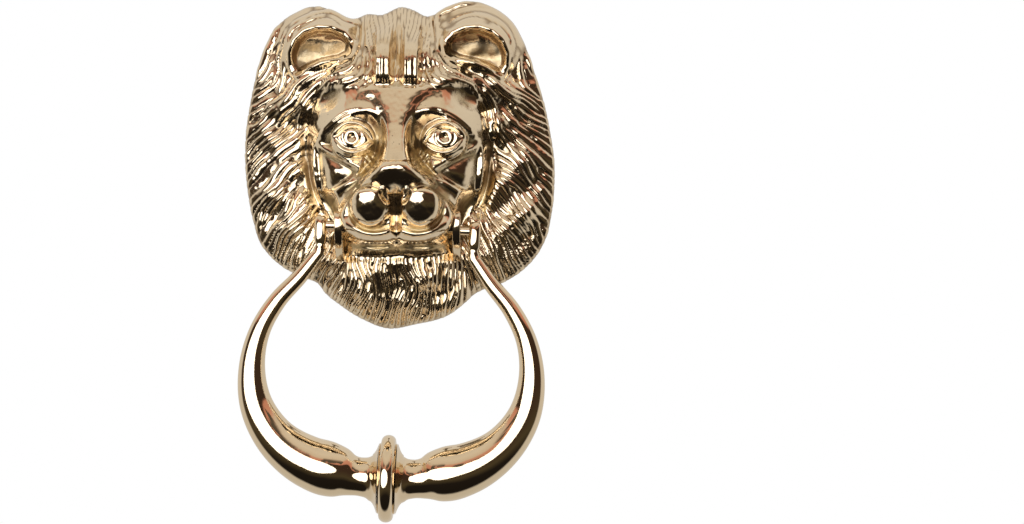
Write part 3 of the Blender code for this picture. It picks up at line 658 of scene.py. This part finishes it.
def turned(name, profile, axis, around=96, sharp_angle=40):
    """A solid of revolution about the X or Y axis, from (along, radius) points."""
    sections = []
    for along, radius in profile:
        c, s = radius * np.cos(circle(around)), radius * np.sin(circle(around))
        still = np.full(around, along)
        sections.append(np.column_stack([still, c, s] if axis == "X" else [s, still, c]))
    return smooth_mesh(name, *sweep(sections), sharp_angle)


def face_outwards(mesh):
    shell = bmesh.new()
    shell.from_mesh(mesh)
    bmesh.ops.recalc_face_normals(shell, faces=shell.faces)
    shell.to_mesh(mesh)
    shell.free()


def primitive(name, make, **settings):
    """An object made by one of bmesh's own shapes."""
    shell = bmesh.new()
    make(shell, cap_ends=True, **settings)
    mesh = bpy.data.meshes.new(name)
    shell.to_mesh(mesh)
    shell.free()
    return add_object(name, mesh)


def modify(obj, kind, **settings):
    """Puts one modifier on an object and applies it."""
    modifier = obj.modifiers.new(kind, kind)
    for name, value in settings.items():
        setattr(modifier, name, value)
    graph = bpy.context.evaluated_depsgraph_get()
    mesh = bpy.data.meshes.new_from_object(obj.evaluated_get(graph))
    obj.modifiers.clear()
    obj.data = mesh


# ---- mask


def folded_disc(rings):
    """A square grid folded onto a disc: each vertex's share of the radius and angle, quads, outer loop."""
    side = np.arange(-rings, rings + 1)
    u, v = np.meshgrid(side, side)
    with np.errstate(divide="ignore", invalid="ignore"):
        across = np.where(u >= 0, 0.25 * v / u, 1 + 0.25 * v / u)
        upright = np.where(v >= 0, 0.5 - 0.25 * u / v, 1.5 - 0.25 * u / v)
    half_turns = np.where(np.abs(u) >= np.abs(v), across, upright)
    half_turns[rings, rings] = 0
    angle = (np.mod(half_turns + 1, 2) - 1) * math.pi
    share = np.maximum(np.abs(u), np.abs(v)) / rings
    width = 2 * rings + 1
    corner = (np.arange(width - 1)[:, None] * width + np.arange(width - 1)).ravel()
    quads = np.column_stack([corner, corner + 1, corner + 1 + width, corner + width])
    loop = np.flatnonzero(share.ravel() == 1)
    loop = loop[np.argsort(angle.ravel()[loop])]
    return share.ravel(), angle.ravel(), quads.tolist(), loop


def cavity_height(x, z):
    """Height of the hollow behind the mask, which follows the front's broad forms."""
    depth = np.hypot(x, z) / (outline_radius(np.arctan2(z, x)) - BACK_RIM_WIDTH)
    shell = 6.0 * cap(depth, 4, 0.6)
    head = 21.0 * cap(oval(x, z, (0, 8), 27, 32), 3, 0.6)
    muzzle = 31.0 * cap(oval(x, z, (0, -13), 13, 13), 3, 0.6)
    beard = 13.0 * cap(oval(x, z, (0, -38), 18, 15), 3, 0.6)
    hollow = smooth_max(smooth_max(shell, beard, 2.5), smooth_max(head, muzzle, 3), 2.5) - 1.2
    rough = 0.35 * wobble(x, z, 13, seed=11) + 0.22 * wobble(x, z, 6, seed=12)
    return np.maximum(hollow + rough * ease(1, 0.9, depth), 0)


def front_patina_and_shade(x, z, skin, hair):
    """Patina in the recesses and painted shade in hair grooves, ears, eyes and face edges, both 0 to 1, at
    each point of the front.
    """
    ax = np.abs(x)
    cup, face, hairy = inside(ax, z, EAR_CUP), inside(ax, z, FACE), grows(x, z)
    shifts = ((1.5, 0), (-1.5, 0), (0, 1.5), (0, -1.5), (3, 3), (-3, 3), (3, -3), (-3, -3))
    hollow = np.mean([front_height(x + u, z + v) for u, v in shifts], axis=0) - skin
    recess = ease(-0.1, 1.3, hollow) * ease(-1, 1.5, np.maximum(face, cup))
    recess *= 1 - 0.9 * ease(13.5, 16.5, z + 0.15 * ax) * ease(28, 24, z + 0.35 * ax)
    recess *= 1 - 0.95 * dent(oval(x, z, (0, -18), 5, 9) ** 2)
    in_ear = 0.8 * ease(1.2, 2.6, cup) * ease(47.5, 44.5, z)
    recess = np.maximum(recess * ease(0.5, -0.5, cup), in_ear)
    # Painted shade: brown in the hair's grooves, along the face's edge beside the mane, under the brows'
    # inner ends and at the inner eye corners
    grooves = [
        ease(0.05, -0.4, hair / HAIR_DEPTH) * hairy,
        (1 - hairy) * ease(2.6, 1, face) * ease(32, 34, ax) * (face > -1),
        dent(oval(ax, z, (10.4, 14.4), 5.2, 1.9, 22)),
        0.85 * dent(oval(ax, z, (8.7, 6.5), 1.6, 5.2, -12)),
        # Painted shade in the ear hollows, darkest on their upper walls
        dent((cup - 1.3) / 1.1) * ease(38, 44, z) * ease(50.5, 48, z),
        (0.36 + 0.3 * ease(40, 48, z)) * ease(0.6, 2.4, cup),
    ]
    return recess, np.max(grooves, axis=0)


def mask_geometry():
    """Front relief with hair, rounded rim, flat back and hollow, and each vertex's patina, painted shade and
    cast finish.
    """
    share, angle, faces, loop = folded_disc(MASK_RINGS)
    radius = outline_radius(angle) * share**0.97
    x, z = radius * np.cos(angle), radius * np.sin(angle)
    skin = front_height(x, z)
    hair, locks = hair_height(x, z)
    crown = ease(30, 36, z) * ease(17, 12, np.abs(x))
    fine = 1 + 0.15 * crown + 0.25 * ease(-31, -38, z)
    height = skin + locks + hair * fine * (0.7 + 0.3 * ease(0, 3, skin - EDGE_HEIGHT))
    height += 0.10 * wobble(x, z, 6, seed=7) + 0.03 * wobble(x, z, 2.2, seed=8)
    height -= 1.1 * ease(0.985, 1, share) ** 2
    notch = 1 + np.where(share > 0.97, 0.45 * hair / 60, 0)
    x, z = x * notch, z * notch
    height += 0.14 * wobble(x, z, 6.5, seed=9) * ease(1, 3, inside(np.abs(x), z, EAR_CUP))
    recess, groove = front_patina_and_shade(x, z, skin, hair)

    vertices = [np.column_stack([x, -height, z])]

    def add_ring(radii, depth, angles):
        start = sum(map(len, vertices))
        vertices.append(np.column_stack([radii * np.cos(angles), -depth, radii * np.sin(angles)]))
        return np.arange(start, start + len(angles))

    rim_angle, rim_radius = angle[loop], np.hypot(x[loop], z[loop])
    side = add_ring(rim_radius, np.full(len(loop), 0.7), rim_angle)
    foot = add_ring(rim_radius - 0.5, np.zeros(len(loop)), rim_angle)
    faces += quads_between(side, loop) + quads_between(foot, side)
    coarse = rim_angle[::BACK_COLUMN_STEP]
    inner_radius = outline_radius(coarse) - BACK_RIM_WIDTH
    previous = add_ring(inner_radius, np.zeros(len(coarse)), coarse)
    for i in range(len(coarse)):
        span = [foot[(i * BACK_COLUMN_STEP + k) % len(foot)] for k in range(BACK_COLUMN_STEP, -1, -1)]
        faces.append((*span, previous[i], previous[(i + 1) % len(coarse)]))
    rim = len(side) + len(foot) + len(previous)
    for row in range(CAVITY_ROWS, 0, -1):
        radii = inner_radius * 0.985 * row / CAVITY_ROWS
        ring = add_ring(radii, cavity_height(radii * np.cos(coarse), radii * np.sin(coarse)), coarse)
        faces += quads_between(ring, previous)
        previous = ring
    middle = add_ring(np.zeros(1), cavity_height(np.zeros(1), np.zeros(1)), np.zeros(1))[0]
    faces += [(previous[i - 1], middle, previous[i]) for i in range(len(coarse))]
    vertices = np.vstack(vertices)
    plain = np.zeros(len(vertices) - len(x))
    cast = np.concatenate([np.zeros(len(x)), np.full(rim, 0.25), np.ones(len(plain) - rim)])
    recess, groove = np.concatenate([recess, plain]), np.concatenate([groove, plain])
    return vertices, faces, {"recess": recess, "groove": groove, "cast": cast}


def build_mask(material):
    vertices, faces, finish_and_shade = mask_geometry()
    mesh = smooth_mesh("lion_mask_casting", vertices, faces, sharp_angle=None)
    # Patina, the dull cast back and painted shade (the groove attribute) go to the material as vertex
    # attributes
    for name, values in finish_and_shade.items():
        mesh.attributes.new(name, "FLOAT", "POINT").data.foreach_set("value", values.astype(np.float32))
    show("lion_mask_casting", mesh, material, "mask", "lion_mask")


def hinge_matrix():
    place = Vector((0, -HINGE_DEPTH, HINGE_HEIGHT)) * MM
    return Matrix.Translation(place) @ Matrix.Rotation(RING_SKEW, 4, "Y")


def build_lugs(material):
    """Walls beside the muzzle in which the pivot pins turn."""
    n = len(LUG_PROFILE)
    for hand, side in SIDES.items():
        walls = (side * LUG_INNER_FACE, side * LUG_OUTER_FACE)
        vertices = [(x, -depth, height) for x in walls for depth, height in LUG_PROFILE]
        faces = [tuple(range(n)), tuple(range(2 * n - 1, n - 1, -1))]
        faces += [(i, n + i, n + (i + 1) % n, (i + 1) % n) for i in range(n)]
        mesh = smooth_mesh(hand + "_pivot_lug", vertices, faces)
        face_outwards(mesh)
        obj = show(mesh.name, mesh, material, "mask", "lion_mask")
        hole = primitive("hole", bmesh.ops.create_cone, segments=48, depth=15 * MM,
                         radius1=LUG_HOLE_RADIUS * MM, radius2=LUG_HOLE_RADIUS * MM)
        along_pin = Matrix.Translation((side * 22.5 * MM, 0, 0)) @ Matrix.Rotation(math.pi / 2, 4, "Y")
        hole.matrix_world = hinge_matrix() @ along_pin
        bpy.context.view_layer.update()
        modify(obj, "BOOLEAN", object=hole)
        bpy.data.objects.remove(hole)
        modify(obj, "BEVEL", width=0.45 * MM, segments=3, limit_method="ANGLE", angle_limit=math.radians(40))
        obj.data.shade_smooth()
        obj.data.set_sharp_from_angle(angle=math.radians(50))


def build_bosses(material):
    """Tapped bosses behind the mask, which take the fixing studs."""
    for name, height in FIXING_HEIGHTS.items():
        profile = [
            (-BOSS_TOP[name], BOSS_RADIUS), (-0.9, BOSS_RADIUS), (-0.5, BOSS_RADIUS - 0.4),
            (-0.5, TAPPED_RADIUS + 0.3), (-0.8, TAPPED_RADIUS), (-TAPPED_DEPTH, TAPPED_RADIUS),
        ]
        mesh = turned(name + "_boss", profile, "Y")
        place = Matrix.Translation((0, 0, height * MM))
        show(name + "_boss", mesh, material, "mask", "lion_mask", place)


# ---- ring


def arm_sections(side, around):
    """Loops of the arm from the knuckle's top to the collar: a rounded block, a neck, then the horn."""
    block = [
        (3.55, 0.4, 0.35), (3.35, 0.65, 0.5), (2.9, 0.84, 0.64), (2.2, 0.95, 0.77), (1.2, 1, 0.89),
        (0, 1, 0.97), (-1.5, 1, 1), (-3.2, 1, 0.98), (-4.8, 1, 0.91), (-6, 0.96, 0.82), (-6.8, 0.84, 0.74),
    ]
    rows = [(KNUCKLE_MIDDLE, up, KNUCKLE_HALF_WIDTH * w, KNUCKLE_HALF_DEPTH * d, 2.6) for up, w, d in block]
    rows += [(28.85, -7.3, 1.75, 2, 2.6), (28.9, -8.2, 2.1, 2.2, 2), (29, -9.2, 2.4, 2.4, 2)]
    across, up, radius = np.array(ARM_STATIONS).T
    steps = np.concatenate([[0], np.cumsum(np.hypot(np.diff(across), np.diff(up)))])
    along = np.concatenate([np.linspace(0, steps[-2], 210), np.linspace(steps[-2], steps[-1], 6)[1:]])
    horn = [hermite(along, steps, column) for column in (across, up, radius)]
    rows += [(x, z, r, r, 2) for x, z, r in zip(*horn)]
    rows = np.array(rows)
    centre = rows[:, :2]
    tangent = np.gradient(centre, axis=0)
    tangent /= np.hypot(*tangent.T)[:, None]
    tangent[: len(block)] = (0, -1)
    tangent[-8:] = (-1, 0)
    sections = []
    for (x, z, width, depth, square), (tx, tz) in zip(rows, tangent):
        c, s = np.cos(circle(around)), np.sin(circle(around))
        u = np.sign(c) * np.abs(c) ** (2 / square) * width
        v = np.sign(s) * np.abs(s) ** (2 / square) * depth
        sections.append(np.column_stack([side * (x - u * tz), v, z + u * tx]))
    return sections


def build_arms(material):
    for hand, side in SIDES.items():
        name = hand + "_ring_arm"
        mesh = smooth_mesh(name, *sweep(arm_sections(side, 64)), 55)
        face_outwards(mesh)
        show(name + "_horn", mesh, material, "ring", name, hinge_matrix())


def build_collar(material):
    """A disc between the horns with a half-round bead on its edge and a fine seam on either side."""
    half = [(3.3, 3.2), (3.3, 12.9), (3.2, 13.3), (2.95, 13.15), (2.8, 13.6)]
    bead = [(2.65 * math.cos(a), 14.35 + 2.1 * math.sin(a)) for a in np.radians(np.arange(2, 91, 8))]
    right = half + bead
    profile = [(-along, radius) for along, radius in right] + right[-2::-1]
    mesh = turned("collar_disc", profile, "X", 160, 55)
    place = hinge_matrix() @ Matrix.Translation((0, 0, -COLLAR_DROP * MM))
    show("collar_disc", mesh, material, "ring", "ring_collar", place)


def build_pins(material):
    ends = [
        (PIN_INNER_END, 1.3), (PIN_INNER_END + 0.4, PIN_RADIUS),
        (PIN_OUTER_END - 0.4, PIN_RADIUS), (PIN_OUTER_END, 1.3),
    ]
    for hand, side in SIDES.items():
        name = hand + "_pivot_pin"
        mesh = turned(name, sorted((side * along, radius) for along, radius in ends), "X", 48)
        show(name + "_turned", mesh, material, "ring", name, hinge_matrix())


def paint(node, material):
    """Gives a CAD node its finish."""
    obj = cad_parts[node]
    obj.data.materials.clear()
    obj.data.materials.append(material)


# ---- fixings


def thread_profile(start, end, radius, pitch=1, depth=0.35):
    """Crest and root radii along a threaded length."""
    points = []
    for turn in range(int((end - start) / pitch)):
        base = start + turn * pitch
        points += [(base, radius - depth), (base + 0.4 * pitch, radius), (base + 0.6 * pitch, radius)]
    return points + [(end, radius - depth)]


def build_fixings(steel, washer_brass, nut_brass):
    for name, height in FIXING_HEIGHTS.items():
        place = Matrix.Translation((0, 0, height * MM))
        start = -TAPPED_DEPTH + FIT_GAP
        profile = [(start, 2.2), *thread_profile(start + 0.6, STUD_END - 0.6, STUD_RADIUS), (STUD_END, 2.2)]
        stud = turned(name + "_stud", profile, "Y", 48, 30)
        show(name + "_threaded_stud", stud, steel, "mask", name + "_fixing_stud", place)
        washer = washer_mesh(name + "_washer_turned")
        show(name + "_washer_turned", washer, washer_brass, "mask", name + "_washer", place)
        nut = nut_mesh(name + "_cap_nut")
        show(name + "_cap_nut", nut, nut_brass, "mask", name + "_dome_nut", place)


def washer_mesh(name, around=96):
    """A flat ring with rounded edges: a closed outline of (along, radius) turned about the Y axis."""
    low = DOOR_THICKNESS + FIT_GAP
    high = low + WASHER_THICKNESS
    outline = [
        (low, TAPPED_RADIUS), (low, WASHER_RADIUS - 0.25), (low + 0.25, WASHER_RADIUS),
        (high - 0.35, WASHER_RADIUS), (high, WASHER_RADIUS - 0.35), (high, TAPPED_RADIUS + 0.2),
        (high - 0.2, TAPPED_RADIUS),
    ]
    vertices = [(r * math.sin(a), along, r * math.cos(a)) for along, r in outline for a in circle(around)]
    loops = np.arange(len(vertices)).reshape(-1, around).tolist()
    faces = [quad for row in range(len(loops)) for quad in quads_between(loops[row - 1], loops[row])]
    return smooth_mesh(name, vertices, faces)


def nut_mesh(name):
    """A hexagon with chamfered corners, a dome and a blind hole: one turned section cut by six flats."""
    start = DOOR_THICKNESS + WASHER_THICKNESS + 2 * FIT_GAP
    base = start + NUT_HEX_HEIGHT
    corner = NUT_ACROSS_CORNERS / 2
    flat = corner * math.cos(math.pi / 6)
    rows = [(base + 1.8, 0.01), (base + 1.8, TAPPED_RADIUS - 0.3), (start + 0.5, TAPPED_RADIUS - 0.3),
            (start, TAPPED_RADIUS), (start, flat - 0.1), (start + 0.5, corner), (base - 0.6, corner),
            (base, flat - 0.15), (base + 0.1, NUT_DOME_RADIUS)]
    rows += [(base + 0.1 + (NUT_DOME_RADIUS - 0.1) * math.sin(a), NUT_DOME_RADIUS * math.cos(a))
             for a in np.radians(np.arange(10, 90, 8))]
    angles = circle(96)
    to_flat = flat / np.cos(np.mod(angles, math.pi / 3) - math.pi / 6)
    sections = []
    for along, radius in rows:
        r = np.minimum(radius, to_flat if radius > NUT_DOME_RADIUS else radius)
        sections.append(np.column_stack([r * np.sin(angles), np.full(96, along), r * np.cos(angles)]))
    return smooth_mesh(name, *sweep(sections), 30)


# ---- materials


class Nodes:
    """Short hand for building a node tree."""

    def __init__(self, tree, coordinates="Object"):
        self.tree = tree
        self.place = self.add("TexCoord").outputs[coordinates]

    def add(self, kind, inputs=(), **settings):
        """A node whose inputs are given by name or number, each as a value or a socket to link from."""
        node = self.tree.nodes.new("ShaderNode" + kind)
        for key, value in settings.items():
            setattr(node, key, value)
        for key, value in dict(inputs).items():
            if isinstance(value, bpy.types.NodeSocket):
                self.tree.links.new(value, node.inputs[key])
            else:
                node.inputs[key].default_value = value
        return node

    def noise(self, scale, detail, roughness=0.5, place=None):
        inputs = {"Scale": scale, "Detail": detail, "Roughness": roughness, "Vector": place or self.place}
        return self.add("TexNoise", inputs).outputs["Fac"]

    def spread(self, value, low, high, start=0, end=1, **settings):
        """Maps a value from the range start to end onto low to high."""
        inputs = {"Value": value, "From Min": start, "From Max": end, "To Min": low, "To Max": high}
        return self.add("MapRange", inputs, **settings).outputs["Result"]

    def ease(self, value, start, end):
        return self.spread(value, 0, 1, start, end, interpolation_type="SMOOTHSTEP")

    def mix(self, share, a, b, mode="MIX"):
        return self.add("Mix", {0: share, 6: a, 7: b}, data_type="RGBA", blend_type=mode).outputs[2]

    def times(self, a, b):
        return self.add("Math", {0: a, 1: b}, operation="MULTIPLY").outputs[0]

    def plus(self, a, b):
        return self.add("Math", {0: a, 1: b}, operation="ADD").outputs[0]

    def finish_and_shade(self, colour, roughness, height, strength, distance):
        """Links the looks to the material's shader, with the height as a bump."""
        shader = self.tree.nodes["Principled BSDF"].inputs
        bump = self.add("Bump", {"Height": height, "Strength": strength, "Distance": distance})
        for name, socket in (("Base Color", colour), ("Roughness", roughness), ("Normal", bump.outputs[0])):
            self.tree.links.new(socket, shader[name])


def new_material(name):
    material = bpy.data.materials.new(name)
    material.use_nodes = True
    material.node_tree.nodes["Principled BSDF"].inputs["Metallic"].default_value = 1.0
    return material


def brass(name, polish, wear, relief=False):
    """Polished brass: fine tone drift, faint hairline scratches and light orange peel. The casting also has
    golden patina in its recesses, brown painted shade in the grooves of its hair, its ears and round its
    eyes, pits and a dull hollow back."""
    material = new_material(name)
    nodes = Nodes(material.node_tree)
    noise, mix, plus, times, spread = nodes.noise, nodes.mix, nodes.plus, nodes.times, nodes.spread
    stretched = nodes.add("Mapping", {"Vector": nodes.place, "Scale": (1, 1, 7)}).outputs[0]
    hairlines = noise(2600, 2, 0.7, stretched)
    tone = mix(noise(60, 3), (0.79, 0.645, 0.445, 1), (0.86, 0.725, 0.53, 1))
    roughness = spread(hairlines, polish, polish + wear, 0.35, 0.75)
    height = plus(times(noise(420, 3), 0.5), times(hairlines, 0.08))
    strength = 0.05
    if relief:
        finish_and_shade_attributes = [nodes.add("Attribute", attribute_name=part) for part in ("recess", "groove", "cast")]
        recess, groove, cast = (node.outputs["Fac"] for node in finish_and_shade_attributes)
        grain = noise(900, 5, 0.7)
        blotch = spread(noise(220, 4, 0.6), 0, 1, 0.35, 0.62)
        patina = times(recess, spread(blotch, 0.65, 1))
        tone = mix(patina, tone, mix(grain, (0.36, 0.26, 0.12, 1), (0.66, 0.53, 0.31, 1)))
        # Painted shade: brown where the groove attribute is high, in the hair's grooves, the ears and round
        # the eyes
        tone = mix(times(groove, 0.75), tone, (0.27, 0.18, 0.10, 1))
        cells = nodes.add("TexVoronoi", {"Vector": nodes.place, "Scale": 620.0}).outputs["Distance"]
        pits = times(spread(cells, 1, 0, 0.09, 0.15), spread(noise(85, 2), 0, 1, 0.56, 0.66))
        tone = mix(pits, tone, (0.05, 0.035, 0.02, 1))
        stain = spread(noise(95, 5, 0.65), 0, 1, 0.3, 0.7)
        dull = mix(stain, (0.23, 0.17, 0.095, 1), (0.52, 0.41, 0.25, 1))
        tone = mix(cast, tone, mix(times(grain, 0.5), dull, (0.12, 0.09, 0.055, 1)))
        for part, matt in ((patina, 0.24), (groove, 0.12), (cast, 0.34)):
            roughness = plus(roughness, times(part, matt))
        height = plus(height, times(times(plus(times(cast, 9), patina), grain), 4))
        strength = 0.10
    nodes.finish_and_shade(tone, roughness, height, strength, 0.0006)
    return material


def zinc(name):
    """Bright zinc on steel, a little mottled."""
    material = new_material(name)
    nodes = Nodes(material.node_tree)
    mottle = nodes.noise(500, 4, 0.6)
    tone = nodes.mix(mottle, (0.52, 0.51, 0.48, 1), (0.72, 0.71, 0.69, 1))
    nodes.finish_and_shade(tone, nodes.spread(mottle, 0.22, 0.42), nodes.noise(2400, 3, 0.6), 0.08, 0.0004)
    return material


# ---- studio


def build_floor():
    floor = primitive("floor", bmesh.ops.create_circle, segments=96, radius=0.42)
    floor.location = (0, 0, -0.2)
    floor.visible_glossy = False
    material = new_material("floor_pale")
    shader = material.node_tree.nodes["Principled BSDF"].inputs
    shader["Base Color"].default_value = (0.85, 0.85, 0.84, 1)
    shader["Metallic"].default_value = 0.0
    shader["Roughness"].default_value = 0.6
    floor.data.materials.append(material)


def build_world():
    """White to the camera. The metal sees a pale room behind the knocker and, on the camera's side, a dark
    floor under a warm wall that grows pale towards the ceiling, with dark furniture here and there."""
    world = bpy.data.worlds.new("studio")
    bpy.context.scene.world = world
    world.use_nodes = True
    world.node_tree.nodes.clear()
    nodes = Nodes(world.node_tree, "Generated")
    direction = nodes.add("SeparateXYZ", {0: nodes.place}).outputs
    height = nodes.spread(direction["Z"], 0, 1, -1)
    ramp = nodes.add("ValToRGB", {0: height})
    stops = ramp.color_ramp.elements
    while len(stops) < len(ROOM_FRONT):
        stops.new(0.5)
    for stop, (level, colour) in zip(stops, ROOM_FRONT):
        stop.position = (level + 1) / 2
        stop.color = (*colour, 1)
    scattered = nodes.ease(nodes.noise(3.2, 1.5), 0.50, 0.56)
    furnished = nodes.times(scattered, nodes.ease(direction["Z"], 0.74, 0.58))
    front = nodes.mix(furnished, ramp.outputs["Color"], FURNITURE, "DARKEN")
    back = nodes.mix(height, ROOM_BACK_LOW, ROOM_BACK_HIGH)
    room = nodes.mix(nodes.ease(direction["Y"], -0.10, 0.12), front, back)
    seen = nodes.mix(nodes.add("LightPath").outputs["Is Camera Ray"], room, WHITE)
    background = nodes.add("Background", {"Color": seen})
    nodes.add("OutputWorld", {"Surface": background.outputs[0]})


def softbox(name, location, width, height, power):
    """An oval area light that faces the knocker."""
    light = bpy.data.lights.new(name, "AREA")
    light.shape = "ELLIPSE"
    light.size = width
    light.size_y = height
    light.energy = power
    lamp = add_object(name, light)
    lamp.location = location
    lamp.rotation_euler = (-lamp.location).to_track_quat("-Z", "Y").to_euler()
    return lamp


def build_camera():
    camera = bpy.data.cameras.new("camera")
    camera.lens = 86.8
    camera.sensor_width = 36
    holder = add_object("camera", camera)
    holder.location = (0.043, -0.95, -0.0372)
    holder.rotation_euler = (math.pi / 2, 0, 0)
    bpy.context.scene.camera = holder
    bpy.context.scene.view_settings.view_transform = "Standard"


def build():
    mask_brass = brass("mask_brass", 0.09, 0.06, relief=True)
    ring_brass = brass("ring_brass", 0.045, 0.05)
    pin_brass = brass("pin_brass", 0.16, 0.10)
    washer_brass = brass("washer_brass", 0.20, 0.12)
    nut_brass = brass("nut_brass", 0.12, 0.08)
    build_mask(mask_brass)
    build_lugs(mask_brass)
    build_bosses(mask_brass)
    build_arms(ring_brass)
    build_collar(ring_brass)
    build_pins(pin_brass)
    paint("ring_tie_stud", pin_brass)
    build_fixings(zinc("stud_zinc"), washer_brass, nut_brass)
    build_floor()
    build_world()
    softbox("window", (-0.43, -1.15, 0.02), 2.3, 1.05, 16)
    softbox("overhead", (0, 0.1, 1.3), 1.6, 1.6, 9).visible_glossy = False
    build_camera()


build()
